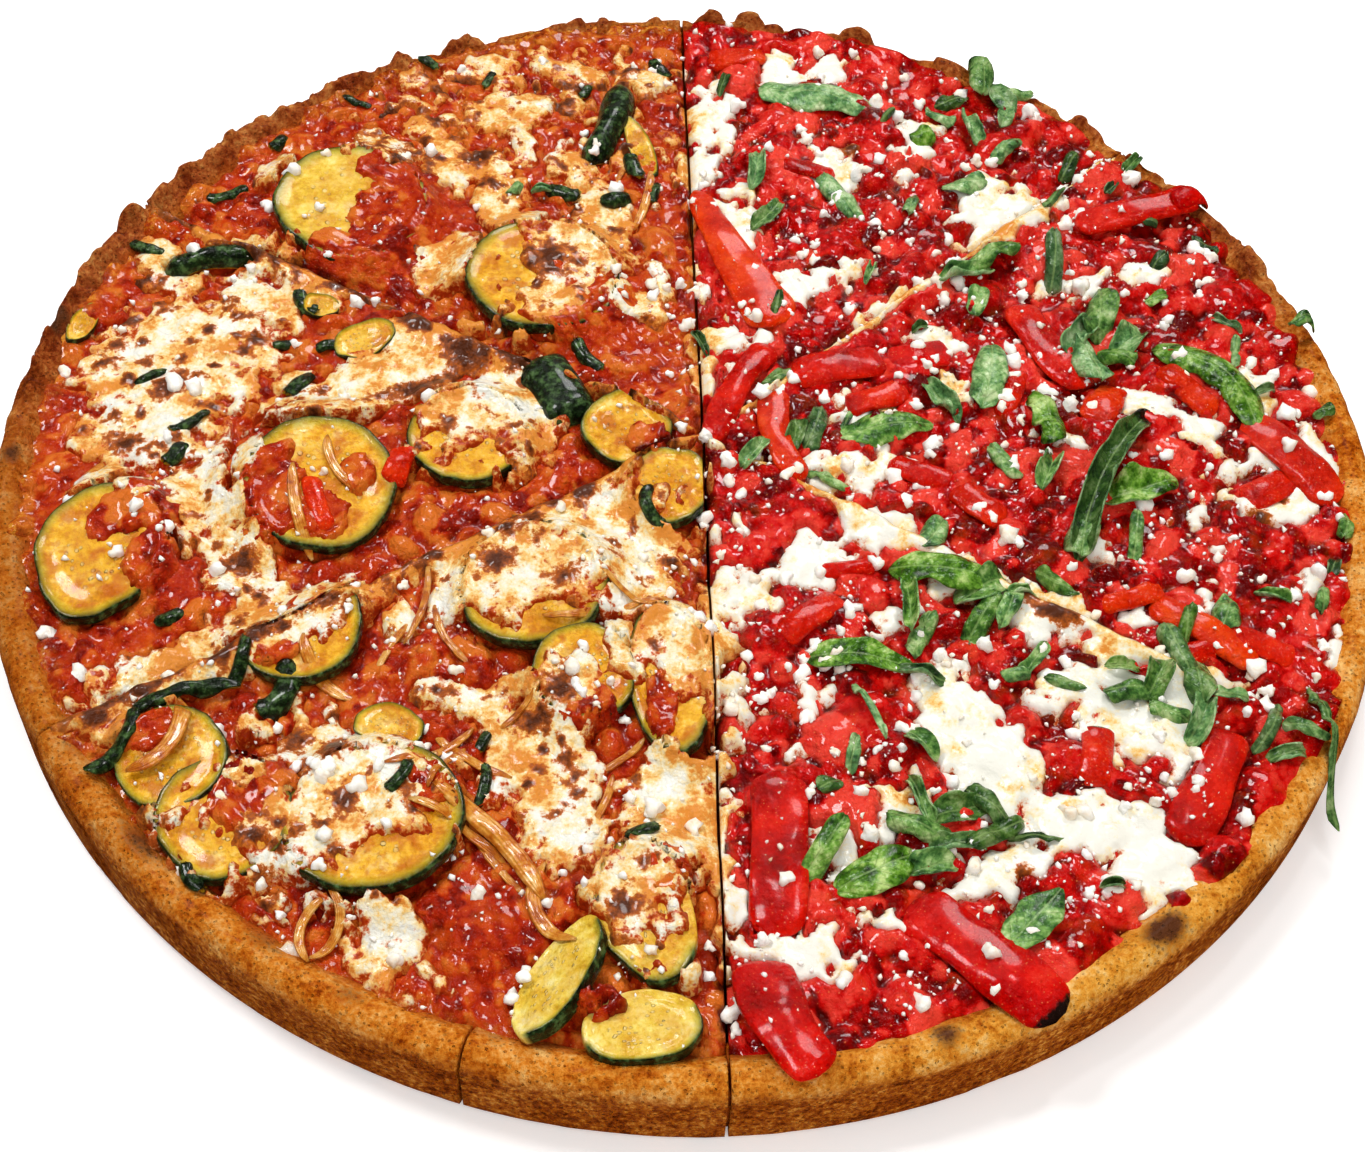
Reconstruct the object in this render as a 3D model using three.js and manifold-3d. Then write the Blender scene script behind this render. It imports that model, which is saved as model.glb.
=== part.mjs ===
// A whole deep dish pizza, cut in six: courgette and browned cheese on one half, chunky tomato, roasted red
// pepper and basil on the other. Millimetres, +Z up; the origin is under the middle, on the base.
import * as THREE from "three";
import { mergeVertices } from "three/addons/utils/BufferGeometryUtils.js";
import Module from "manifold-3d";

const wasm = await Module();
wasm.setup();

// ---- Driving sizes ----
const PIZZA_RADIUS = 178; // the inside of a 14 inch pan
const RIM_TOP = 24; // height of the baked rim's crest
const RIM_WIDTH = 9; // from the wall to the filling's edge, on average
const DOUGH_TOP = 12; // the flat dough under the filling
const GAP = 0.4; // left between two pieces that touch
const LOWER_TOP = 16.4; // top of the layer on the dough
const BED = 20.4; // top of the upper layer, where the toppings lie
const RELIEF = 0.5; // how far the bed rises and falls
const SINK = { zucchini: 1.9, red_pepper: 1.9, basil: 0.5, onion: 0.8 }; // how deep each sits in the bed
const SECTORS = 60; // steps round the pizza
const KERF = 1.6; // width of a knife cut

// The knife cuts meet a little off the middle, and run out from there at these angles in degrees.
const HUB = new THREE.Vector2(4, 7);
const CUTS = [43, 92.3, 153, 212, 271.7, 328.5];
const COURGETTE_SLICES = [1, 2, 3]; // the slices that carry their cheese over the sauce
const SLIT = { slice: 3, angle: 254, width: 1.2, inner: 150 }; // a short cut in the rim alone

const COLOURS = {
  crust: [0xc98a3c, 0.75],
  sauce: [0xb3261a, 0.35],
  cheese: [0xf0dcae, 0.5],
  zucchini: [0xd9a520, 0.45],
  red_pepper: [0xc8150f, 0.25],
  basil: [0x3f7a35, 0.5],
  onion: [0xd98a4a, 0.3],
};

const degrees = (a) => (a * Math.PI) / 180;

// ---- From three.js geometry to a solid and back ----
function solid(geometry) {
  const bare = geometry.clone();
  for (const name of Object.keys(bare.attributes)) if (name !== "position") bare.deleteAttribute(name);
  const merged = mergeVertices(bare, 1e-3);
  const faces = [];
  const index = merged.index.array;
  for (let i = 0; i < index.length; i += 3) {
    const [a, b, c] = [index[i], index[i + 1], index[i + 2]];
    if (a !== b && b !== c && a !== c) faces.push(a, b, c);
  }
  const build = (order) =>
    new wasm.Manifold(
      new wasm.Mesh({
        numProp: 3,
        vertProperties: new Float32Array(merged.attributes.position.array),
        triVerts: new Uint32Array(order),
      }),
    );
  const made = build(faces);
  return made.volume() < 0 ? build(faces.reverse()) : made;
}

function geometryOf(made) {
  const mesh = made.getMesh();
  const places = new Float32Array(mesh.numVert * 3);
  for (let i = 0; i < mesh.numVert; i++) {
    const start = i * mesh.numProp;
    places.set(mesh.vertProperties.subarray(start, start + 3), i * 3);
  }
  const geometry = new THREE.BufferGeometry();
  geometry.setAttribute("position", new THREE.BufferAttribute(places, 3));
  geometry.setIndex(new THREE.BufferAttribute(mesh.triVerts, 1));
  geometry.computeVertexNormals();
  return geometry;
}

// The same shape with its skin moved outwards, to cut a pocket that leaves a gap all round.
function grown(made, by) {
  const geometry = geometryOf(made);
  const { position, normal } = geometry.attributes;
  for (let i = 0; i < position.count; i++) {
    position.setXYZ(
      i,
      position.getX(i) + by * normal.getX(i),
      position.getY(i) + by * normal.getY(i),
      position.getZ(i) + by * normal.getZ(i),
    );
  }
  return solid(geometry);
}

// Without the crumbs that a cut leaves loose.
function whole(made) {
  return made.decompose().reduce((best, body) => (body.volume() > best.volume() ? body : best));
}

const group = new THREE.Group();
function addPiece(name, kind, made) {
  const [color, roughness] = COLOURS[kind];
  const mesh = new THREE.Mesh(
    geometryOf(whole(made)),
    new THREE.MeshStandardMaterial({ color, roughness, metalness: 0 }),
  );
  mesh.name = name;
  group.add(mesh);
}

// ---- Slices ----
// The upright prism that holds slice i, drawn back from the knife's path by half its width.
function wedge(i) {
  const from = degrees(CUTS[i]);
  const to = degrees(CUTS[(i + 1) % CUTS.length] + (i + 1 < CUTS.length ? 0 : 360));
  const half = (to - from) / 2;
  const along = (angle, length) => new THREE.Vector2(Math.cos(angle), Math.sin(angle)).multiplyScalar(length);
  const tip = HUB.clone().add(along(from + half, KERF / 2 / Math.sin(half)));
  const reach = 2.5 * PIZZA_RADIUS;
  const outline = new THREE.Shape([
    tip,
    tip.clone().add(along(from, reach)),
    tip.clone().add(along(to, reach)),
  ]);
  const prism = new THREE.ExtrudeGeometry(outline, { depth: 4 * RIM_TOP, bevelEnabled: false });
  return solid(prism.translate(0, 0, -RIM_TOP));
}
const WEDGES = CUTS.map((_, i) => wedge(i));

function sliceAt(x, y) {
  const turn = (a) => ((a % 360) + 360) % 360;
  const angle = turn((Math.atan2(y - HUB.y, x - HUB.x) * 180) / Math.PI - CUTS[0]);
  return CUTS.filter((cut) => turn(cut - CUTS[0]) <= angle).length - 1;
}

// ---- Dough ----
// Bumps of the baked rim. They fade to nothing towards +X, +Y, -X and -Y, so that the pizza keeps its diameter.
const ripple = (a) => Math.sin(3 * a + 1) + 0.6 * Math.sin(7 * a + 2) + 0.4 * Math.sin(11 * a);
const rimBump = (a) => 0.5 * ripple(a);
const wallDent = (a) => 0.8 * Math.sin(2 * a) ** 2 * (ripple(a) / 2 - 1);

// The rim is a little wider in some places than in others, and the filling's edge follows it.
const rimWidth = (a) => RIM_WIDTH + 0.8 * Math.sin(5 * a + 1) - 0.7 * Math.sin(2 * a + 1);
const RIM_ZONE = 60; // how far in from the wall the filling is stretched to meet it
function widen(p) {
  const a = Math.atan2(p.y, p.x);
  const r = Math.hypot(p.x, p.y);
  const inward = PIZZA_RADIUS - r;
  if (inward <= 0 || inward >= RIM_ZONE) return;
  const stretch = (rimWidth(a) / RIM_WIDTH - 1) * Math.min(1, (RIM_ZONE - inward) / (RIM_ZONE - 20));
  const scale = (r - inward * stretch) / r;
  p.x *= scale;
  p.y *= scale;
}

function turned(profile) {
  const points = profile.map(([r, z]) => new THREE.Vector2(r, z));
  return new THREE.LatheGeometry(points, SECTORS).rotateX(Math.PI / 2);
}

function reshape(geometry, move) {
  const { position } = geometry.attributes;
  const point = new THREE.Vector3();
  for (let i = 0; i < position.count; i++) {
    point.fromBufferAttribute(position, i);
    move(point);
    position.setXYZ(i, point.x, point.y, point.z);
  }
  return geometry;
}

// The bank is the slope inside the rim, from the flat dough up to the crest.
const BANK_FOOT = PIZZA_RADIUS - RIM_WIDTH - 5.5;
const BANK_HEAD = { r: PIZZA_RADIUS - RIM_WIDTH, z: 19.5 };

function dough() {
  const R = PIZZA_RADIUS;
  const shape = turned([
    [0, 0],
    [R - 2, 0],
    [R, 2],
    [R, 13],
    [R - 1, 19],
    [R - 2.8, RIM_TOP - 1],
    [R - 4.8, RIM_TOP],
    [R - 6.8, RIM_TOP - 1.2],
    [BANK_HEAD.r, BANK_HEAD.z],
    [BANK_FOOT, DOUGH_TOP],
    [0, DOUGH_TOP],
  ]);
  return solid(
    reshape(shape, (p) => {
      const r = Math.hypot(p.x, p.y);
      if (r > BANK_FOOT + 1 && p.z > 15) p.z += rimBump(Math.atan2(p.y, p.x));
      if (p.z > 0.1 && r < R - 2) widen(p);
      const scale = r > R - 5 ? 1 + wallDent(Math.atan2(p.y, p.x)) / R : 1;
      p.x *= scale;
      p.y *= scale;
    }),
  );
}

// ---- Filling: two layers on the dough, each with an uneven top ----
const swell = (x, y) =>
  Math.sin(x / 17) * Math.cos(y / 13 + 1) * 0.6 + Math.sin((x + y) / 23 + 2) * Math.cos((x - y) / 19) * 0.4;

function layer({ low, high, relief }) {
  const rings = relief ? [0.9, 0.66, 0.4].map((share) => [bank(high) * share, high]) : [];
  const shape = turned([[0, low], [bank(low), low], [bank(high), high], ...rings, [0, high]]);
  return solid(
    reshape(shape, (p) => {
      if (p.z > high - 0.01) p.z += relief * swell(p.x, p.y);
      widen(p);
    }),
  );
}

// How far out the bank lets a layer reach at a height.
const BANK_ROOM = 1.2; // clears the rim's bumps as well as the gap
const bank = (z) =>
  BANK_FOOT + ((BANK_HEAD.r - BANK_FOOT) * (z - DOUGH_TOP)) / (BANK_HEAD.z - DOUGH_TOP) - BANK_ROOM;
const lower = layer({ low: DOUGH_TOP + GAP, high: LOWER_TOP, relief: 0 });
const upper = layer({ low: LOWER_TOP + GAP, high: BED, relief: RELIEF });

// ---- Toppings: each is made round its own middle, then turned, leaned and set into the bed ----
// A courgette slice: a disc with soft edges, wider one way, bowed so that its middle is low.
function roundSlice({ long, wide, thick, bow }) {
  const shape = new THREE.LatheGeometry(
    [
      [0, -0.5],
      [0.92, -0.5],
      [1, 0],
      [0.92, 0.5],
      [0, 0.5],
    ].map(([r, z]) => new THREE.Vector2(r, z)),
    12,
  ).rotateX(Math.PI / 2);
  return reshape(shape, (p) => {
    const out = Math.hypot(p.x, p.y);
    p.set(p.x * long, p.y * wide, p.z * thick + bow * out ** 2);
  });
}

// A closed skin over rings of points, such as a strip of pepper or a leaf.
function skinOver(rings) {
  const n = rings[0].length;
  const places = rings.flat().flatMap((p) => [p.x, p.y, p.z]);
  const faces = [];
  for (let k = 0; k + 1 < rings.length; k++) {
    for (let j = 0; j < n; j++) {
      const [a, b] = [k * n + j, k * n + ((j + 1) % n)];
      faces.push(a, b, b + n, a, b + n, a + n);
    }
  }
  const last = (rings.length - 1) * n;
  for (let j = 1; j + 1 < n; j++) faces.push(0, j + 1, j, last, last + j, last + j + 1);
  const geometry = new THREE.BufferGeometry();
  geometry.setAttribute("position", new THREE.Float32BufferAttribute(places, 3));
  geometry.setIndex(faces);
  return geometry;
}

// A strip or leaf along an arc in plan. bend is the angle that it turns through, arch lifts its middle along its
// length, and cup lifts its middle across its width. outline gives its width at each share of its length.
function strip({ long, wide, thick, bend = 0, arch = 0, cup = 0, outline, steps = 5 }) {
  const across = [-1, 0, 1];
  const rings = [];
  for (let k = 0; k <= steps; k++) {
    const t = k / steps;
    const heading = degrees(bend) * (t - 0.5);
    const radius = bend ? long / degrees(bend) : 0;
    const middle = bend
      ? new THREE.Vector3(radius * Math.sin(heading), radius * (1 - Math.cos(heading)), 0)
      : new THREE.Vector3(long * (t - 0.5), 0, 0);
    const side = new THREE.Vector3(-Math.sin(heading), Math.cos(heading), 0);
    const half = (wide / 2) * outline(t);
    const rise = arch * (1 - (2 * t - 1) ** 2);
    const point = (u, sign) =>
      middle
        .clone()
        .addScaledVector(side, u * half)
        .setZ(rise + cup * outline(t) * (1 - u * u) + sign * (thick / 2) * (1 - 0.5 * Math.abs(u)));
    rings.push([...across.map((u) => point(u, -1)), ...across.toReversed().map((u) => point(u, 1))]);
  }
  return skinOver(rings);
}

const blunt = (t) => 0.6 + 0.4 * Math.sqrt(Math.sin(Math.PI * Math.min(Math.max(t, 0.04), 0.96)));
const pointed = (t) => 0.15 + 0.85 * Math.sin(Math.PI * Math.min(Math.max(t, 0.03), 0.97)) ** 0.8;
const tapered = (t) => 0.25 + 0.75 * Math.sin((Math.PI / 2) * Math.min(1.2 * t + 0.05, 1));

const SHAPES = {
  disc: ({ long, wide = long, thick = 4.6, bow = 0.8 }) => roundSlice({ long: long / 2, wide: wide / 2, thick, bow }),
  rind: ({ long, wide, bend = 0 }) => strip({ long, wide, thick: 3.4, bend, arch: 1.5, cup: 1.8, outline: blunt }),
  pepper: ({ long, wide, bend = 0 }) => strip({ long, wide, thick: 3.2, bend, arch: 1, cup: 1.6, outline: blunt }),
  tapered: ({ long, wide, bend = 0 }) => strip({ long, wide, thick: 3.2, bend, arch: 1, cup: 1.6, outline: tapered }),
  leaf: ({ long, wide, bend = 0 }) => strip({ long, wide, thick: 1, bend, arch: 2, cup: 1.4, outline: pointed }),
  strand: ({ long, wide, bend = 0 }) => strip({ long, wide, thick: 2, bend, arch: 1, cup: 0.4, outline: blunt }),
};

// Where each topping lies: x and y, its turn from +X, and how far it leans up and towards which side, in degrees.
const TOPPINGS = [
  { name: "zucchini_01", kind: "zucchini", shape: "disc", x: -95, y: 87, long: 43, lean: 5, to: 160 },
  { name: "zucchini_02", kind: "zucchini", shape: "rind", x: -22, y: 127, long: 35, wide: 9, turn: 76, bend: 30 },
  { name: "zucchini_03", kind: "zucchini", shape: "disc", x: -40, y: 61, long: 42, lean: 4, to: 190 },
  { name: "zucchini_04", kind: "zucchini", shape: "rind", x: -132, y: 67, long: 25, wide: 7, turn: 15, bend: -30 },
  { name: "zucchini_05", kind: "zucchini", shape: "rind", x: -34.5, y: 25, long: 25, wide: 15, turn: -60, bend: -20 },
  { name: "zucchini_06", kind: "zucchini", shape: "disc", x: -16.5, y: 7, long: 23, lean: 8, to: 120 },
  { name: "zucchini_07", kind: "zucchini", shape: "disc", x: -4, y: -12, long: 23, lean: 6, to: 80 },
  { name: "zucchini_08", kind: "zucchini", shape: "disc", x: -93, y: -15, long: 41, wide: 38, turn: 80, lean: 9, to: 120 },
  { name: "zucchini_09", kind: "zucchini", shape: "disc", x: -145, y: -36.5, long: 40, wide: 33, turn: 78, lean: 5, to: 110 },
  { name: "zucchini_10", kind: "zucchini", shape: "disc", x: -57, y: 3, long: 31, lean: 3, to: 90 },
  { name: "zucchini_11", kind: "zucchini", shape: "disc", x: -38, y: -45, long: 37, lean: 5, to: 20 },
  { name: "zucchini_12", kind: "zucchini", shape: "disc", x: -24.5, y: -71, long: 25, lean: 10, to: 80 },
  { name: "zucchini_13", kind: "zucchini", shape: "disc", x: -3.5, y: -72, long: 44, wide: 21, turn: -80, lean: 6, to: 0 },
  { name: "zucchini_14", kind: "zucchini", shape: "disc", x: -93.5, y: -57, long: 30, lean: 3, to: 0 },
  { name: "zucchini_15", kind: "zucchini", shape: "disc", x: -119, y: -97, long: 27, lean: 9, to: 30 },
  { name: "zucchini_16", kind: "zucchini", shape: "disc", x: -105, y: -112, long: 31, lean: 4, to: 120 },
  { name: "zucchini_17", kind: "zucchini", shape: "disc", x: -72, y: -112, long: 40, lean: 5, to: -40 },
  { name: "zucchini_18", kind: "zucchini", shape: "disc", x: -9, y: -134.5, long: 36, wide: 22, turn: 103, lean: 6, to: 0 },
  { name: "zucchini_19", kind: "zucchini", shape: "disc", x: -27, y: -152, long: 32, wide: 17, turn: 62, lean: 12, to: -30 },
  { name: "zucchini_20", kind: "zucchini", shape: "disc", x: -9, y: -163, long: 26, wide: 17, turn: 10, lean: 6, to: -90 },
  { name: "red_pepper_01", kind: "red_pepper", shape: "tapered", x: 9.5, y: 73, long: 56, wide: 15, turn: -68, bend: 14 },
  { name: "red_pepper_02", kind: "red_pepper", shape: "pepper", x: 11, y: 18, long: 38, wide: 7, turn: 65, bend: -25 },
  { name: "red_pepper_03", kind: "red_pepper", shape: "pepper", x: 22, y: 7, long: 34, wide: 7, turn: -80, bend: 55 },
  { name: "red_pepper_04", kind: "red_pepper", shape: "pepper", x: 96, y: 41, long: 34, wide: 10, turn: -61, bend: 30 },
  { name: "red_pepper_05", kind: "red_pepper", shape: "pepper", x: 127, y: 91, long: 36, wide: 9, turn: 12, bend: 15, lean: 9, to: 35 },
  { name: "red_pepper_06", kind: "red_pepper", shape: "pepper", x: 159, y: 3, long: 34, wide: 9, turn: -56, bend: -20 },
  { name: "red_pepper_07", kind: "red_pepper", shape: "pepper", x: 127, y: -53, long: 30, wide: 8, turn: -38, bend: -20 },
  { name: "red_pepper_08", kind: "red_pepper", shape: "pepper", x: 21, y: -118, long: 42, wide: 13, turn: 88, bend: 8 },
  { name: "red_pepper_09", kind: "red_pepper", shape: "pepper", x: 19, y: -160.5, long: 32, wide: 12, turn: -67, bend: 38, lean: 14, to: -80 },
  { name: "red_pepper_10", kind: "red_pepper", shape: "pepper", x: 66, y: -144, long: 41, wide: 12, turn: -43, bend: -10, lean: 6, to: -50 },
  { name: "red_pepper_11", kind: "red_pepper", shape: "pepper", x: 122, y: -98, long: 35, wide: 11, turn: 63, bend: 8 },
  { name: "basil_01", kind: "basil", shape: "leaf", x: 37, y: 139, long: 33, wide: 12, turn: -14, bend: 10 },
  { name: "basil_02", kind: "basil", shape: "leaf", x: 143, y: 29, long: 40, wide: 11, turn: -52, bend: -75 },
  { name: "basil_03", kind: "basil", shape: "leaf", x: 80, y: 29, long: 23, wide: 9, turn: 80, bend: 20 },
  { name: "basil_04", kind: "basil", shape: "leaf", x: 52, y: 9, long: 25, wide: 9, turn: 12, bend: 12 },
  { name: "basil_05", kind: "basil", shape: "leaf", x: 106, y: -7, long: 56, wide: 14, turn: 64, bend: -30 },
  { name: "basil_06", kind: "basil", shape: "leaf", x: 64, y: -38, long: 26, wide: 8, turn: -10, bend: 8 },
  { name: "basil_07", kind: "basil", shape: "leaf", x: 43, y: -123, long: 21, wide: 12, turn: 28, bend: 10 },
  { name: "basil_08", kind: "basil", shape: "leaf", x: 77, y: -135.5, long: 22, wide: 11, turn: 48, bend: 8 },
  { name: "basil_09", kind: "basil", shape: "leaf", x: 42, y: -64.5, long: 27, wide: 9, turn: -8, bend: -8 },
  { name: "onion_01", kind: "onion", shape: "strand", x: -43, y: -116, long: 38, wide: 5, turn: -46, bend: -35 },
];

function setDown(spec) {
  const geometry = SHAPES[spec.shape](spec).rotateZ(degrees(spec.turn ?? 0));
  const [lean, to] = [degrees(spec.lean ?? 0), degrees(spec.to ?? 0)];
  const hinge = new THREE.Vector3(Math.sin(to), -Math.cos(to), 0);
  geometry.applyMatrix4(new THREE.Matrix4().makeRotationAxis(hinge, lean));
  geometry.computeBoundingBox();
  geometry.translate(spec.x, spec.y, BED - SINK[spec.kind] - geometry.boundingBox.min.z);
  return solid(geometry);
}

// Vegetables were baked on and cut with the slice; leaves were laid on afterwards. A topping gives way to the rim,
// and to the toppings before it.
const base = dough();
const rimRoom = grown(base, GAP);
const toppings = [];
for (const spec of TOPPINGS) {
  const uncut = setDown(spec);
  let made = uncut;
  if (spec.kind !== "basil") made = made.intersect(WEDGES[sliceAt(spec.x, spec.y)]);
  for (const room of [rimRoom, ...toppings.map((other) => other.room)]) made = made.subtract(room);
  toppings.push({ spec, made, room: grown(uncut, GAP) });
}

// ---- The pizza ----
const slit = solid(
  new THREE.BoxGeometry(60, SLIT.width, 4 * RIM_TOP)
    .translate(SLIT.inner + 30, 0, 0)
    .rotateZ(degrees(SLIT.angle)),
);

CUTS.forEach((_, i) => {
  const tag = String(i + 1);
  const cheeseOnTop = COURGETTE_SLICES.includes(i);
  const [under, over] = cheeseOnTop ? ["sauce", "cheese"] : ["cheese", "sauce"];
  let crust = base.intersect(WEDGES[i]);
  if (i === SLIT.slice) crust = crust.subtract(slit);
  addPiece("crust_" + tag, "crust", crust);
  addPiece(under + "_" + tag, under, lower.intersect(WEDGES[i]));
  let top = upper.intersect(WEDGES[i]);
  for (const { room } of toppings) top = top.subtract(room);
  addPiece(over + "_" + tag, over, top);
});
for (const { spec, made } of toppings) addPiece(spec.name, spec.kind, made);

export default group;
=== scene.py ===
# %% [markdown]
# # A deep dish pizza, cut in six
# Half of this pizza is courgette under browned cheese, and half is crushed tomato, red pepper and basil. The packed
# CAD model says where every slice and every large topping lies. This script dresses it: a baked crust, a bed of sauce
# and cheese with real relief, and the toppings one by one.

# %% Load the frame
import math

import bmesh
import bpy
import numpy as np
from mathutils import Matrix, Vector


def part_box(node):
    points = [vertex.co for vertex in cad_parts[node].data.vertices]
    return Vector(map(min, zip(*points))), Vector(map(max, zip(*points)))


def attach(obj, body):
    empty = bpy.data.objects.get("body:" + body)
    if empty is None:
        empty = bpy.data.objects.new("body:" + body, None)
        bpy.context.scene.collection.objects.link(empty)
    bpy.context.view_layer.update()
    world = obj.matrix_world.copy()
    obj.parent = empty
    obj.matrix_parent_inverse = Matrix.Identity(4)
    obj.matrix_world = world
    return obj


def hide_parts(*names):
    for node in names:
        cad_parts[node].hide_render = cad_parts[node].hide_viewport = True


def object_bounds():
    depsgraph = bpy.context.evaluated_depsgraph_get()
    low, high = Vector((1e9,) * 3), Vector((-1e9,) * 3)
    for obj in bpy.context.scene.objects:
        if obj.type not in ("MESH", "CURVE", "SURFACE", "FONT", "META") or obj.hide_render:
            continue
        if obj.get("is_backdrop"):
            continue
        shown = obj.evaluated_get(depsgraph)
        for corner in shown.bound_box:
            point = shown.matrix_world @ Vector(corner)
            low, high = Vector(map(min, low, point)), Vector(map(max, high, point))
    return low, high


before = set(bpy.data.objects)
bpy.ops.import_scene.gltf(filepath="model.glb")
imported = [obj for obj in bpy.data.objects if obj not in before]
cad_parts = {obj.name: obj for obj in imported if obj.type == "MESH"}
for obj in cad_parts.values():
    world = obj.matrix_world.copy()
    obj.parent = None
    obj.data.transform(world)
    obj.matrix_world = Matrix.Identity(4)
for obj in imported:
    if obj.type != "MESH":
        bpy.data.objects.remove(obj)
cad_low, cad_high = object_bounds()

# %% [markdown]
# ## Sizes
# Lengths in this script are in millimetres, and become metres only when a mesh is made. The knife cuts meet a little
# off the middle. Slices are counted anticlockwise from the cut at 43 degrees, as their CAD nodes are.

# %% Sizes of the pizza
MM = 0.001
RADIUS = (cad_high.x - cad_low.x) / 2 / MM
HUB = np.array([4.0, 7.0])
CUTS = [43, 92.3, 153, 212, 271.7, 328.5]
KERF = 0.8  # width of a knife cut, half closed again by the soft filling
SLICES = range(len(CUTS))
COURGETTE = [1, 2, 3]  # slices with their cheese on top
DOUGH_TOP = 12.0
BED = 20.0  # mean height of the filling
print(f"radius {RADIUS:.0f} mm, {len(CUTS)} slices")


def unit(degrees):
    """The direction at an angle from +X, in plan."""
    return np.array([math.cos(math.radians(degrees)), math.sin(math.radians(degrees))])


def smooth_step(values, low, high):
    t = np.clip((values - low) / (high - low), 0, 1)
    return t * t * (3 - 2 * t)


# %% [markdown]
# ## Camera, light and floor
# The camera looks down on the pizza as a diner standing at the table does. Wet sauce, cheese and pepper show their
# gloss only where they mirror a light, so three small soft lights behind and above are mirrored in them. Three more
# fill the shadows unmirrored, because their reflection would lay a grey haze over the dark reds. The pale world is
# weak and unmirrored too.

# %% Camera
scene = bpy.context.scene


def in_scene(name, data):
    made = bpy.data.objects.new(name, data)
    scene.collection.objects.link(made)
    return made


EYE = Vector((-11.0, -373.7, 461.6)) * MM
HEADING, PITCH, ROLL = (math.radians(a) for a in (1.66, 52.8, 2.45))

forward = Vector((math.sin(HEADING) * math.cos(PITCH), math.cos(HEADING) * math.cos(PITCH), -math.sin(PITCH)))
level = forward.cross(Vector((0, 0, 1))).normalized()
upward = level.cross(forward)
camera_x = level * math.cos(ROLL) + upward * math.sin(ROLL)
camera_y = upward * math.cos(ROLL) - level * math.sin(ROLL)

camera = bpy.data.objects.new("camera", bpy.data.cameras.new("camera"))
camera.data.sensor_width = 36.0
camera.data.lens = 58.76
camera.data.clip_start = 0.01
turn = Matrix((camera_x, camera_y, -forward)).transposed().to_4x4()
camera.matrix_world = Matrix.Translation(EYE) @ turn
scene.collection.objects.link(camera)
scene.camera = camera
scene.view_settings.view_transform = "Standard"


# %% Lights and floor
def soft_light(name, place, size, power, colour=(1, 1, 1), mirrored=True):
    lamp = bpy.data.lights.new(name, "AREA")
    lamp.shape = "DISK"
    lamp.size = size
    lamp.energy = power
    lamp.color = colour
    holder = bpy.data.objects.new(name, lamp)
    holder.location = place
    holder.visible_glossy = mirrored
    holder.rotation_euler = (-Vector(place)).to_track_quat("-Z", "Y").to_euler()
    scene.collection.objects.link(holder)


soft_light("back_light", (0.25, 0.95, 0.95), 0.42, 7)
soft_light("left_light", (-0.5, 0.25, 1.1), 0.30, 7)
soft_light("spark_light", (0.15, 0.45, 1.4), 0.13, 1.6)
soft_light("front_light", (0.3, -1.0, 0.9), 0.9, 6, mirrored=False)
soft_light("top_light", (0.0, -0.2, 1.8), 1.6, 7.8, mirrored=False)
soft_light("right_light", (1.2, -0.5, 0.6), 0.6, 2.2, (1, 0.86, 0.66), mirrored=False)

world = bpy.data.worlds.new("studio")
scene.world = world
world.use_nodes = True
world.node_tree.nodes["Background"].inputs["Color"].default_value = (1.0, 1.0, 1.0, 1)
world.node_tree.nodes["Background"].inputs["Strength"].default_value = 0.10
world.cycles_visibility.glossy = False


# %% [markdown]
# ## Finishes
# A finish is a node material. These helpers keep each one to a few lines: `add` makes a node and fills or links its
# inputs, `mix` blends two colours, and `ramp` turns a number into a colour. `plus`, `minus` and `times` do sums, and
# `freckled` makes a number ragged with noise. Colours are written as they look on a screen, and `paint` turns them
# into the linear numbers that shaders use.


# %% Helpers for materials
def paint(code):
    """A screen colour such as "#c98a3c" as linear RGBA."""
    parts = [int(code[i : i + 2], 16) / 255 for i in (1, 3, 5)]
    return tuple(p / 12.92 if p <= 0.04045 else ((p + 0.055) / 1.055) ** 2.4 for p in parts) + (1.0,)


def add(tree, kind, settings=None, **inputs):
    made = tree.nodes.new(kind)
    for key, value in (settings or {}).items():
        setattr(made, key, value)
    for key, value in inputs.items():
        socket = made.inputs[key.replace("_", " ")]
        if isinstance(value, bpy.types.NodeSocket):
            tree.links.new(value, socket)
        else:
            socket.default_value = value
    return made


def mix(tree, factor, first, second):
    """Two colours blended: factor 0 gives the first, 1 the second."""
    made = tree.nodes.new("ShaderNodeMix")
    made.data_type = "RGBA"
    for socket, value in ((made.inputs[0], factor), (made.inputs[6], first), (made.inputs[7], second)):
        if isinstance(value, bpy.types.NodeSocket):
            tree.links.new(value, socket)
        else:
            socket.default_value = paint(value) if isinstance(value, str) else value
    return made.outputs[2]


def ramp(tree, value, *stops):
    made = add(tree, "ShaderNodeValToRGB", Fac=value)
    colours = made.color_ramp.elements
    while len(colours) < len(stops):
        colours.new(0.5)
    for element, (place, code) in zip(colours, stops):
        element.position = place
        element.color = paint(code)
    return made.outputs["Color"]


def sums(tree, how, first, second=0.0):
    """A Math node on two numbers or sockets."""
    made = tree.nodes.new("ShaderNodeMath")
    made.operation = how
    for socket, value in zip(made.inputs, (first, second)):
        if isinstance(value, bpy.types.NodeSocket):
            tree.links.new(value, socket)
        else:
            socket.default_value = value
    return made.outputs[0]


def plus(tree, first, second):
    return sums(tree, "ADD", first, second)


def minus(tree, first, second):
    return sums(tree, "SUBTRACT", first, second)


def times(tree, first, second):
    return sums(tree, "MULTIPLY", first, second)


def band(tree, value, low, high):
    """0 below low, 1 above high, smooth between them."""
    made = add(tree, "ShaderNodeMapRange", {"interpolation_type": "SMOOTHSTEP"}, Value=value)
    made.inputs["From Min"].default_value = low
    made.inputs["From Max"].default_value = high
    return made.outputs["Result"]


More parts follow.
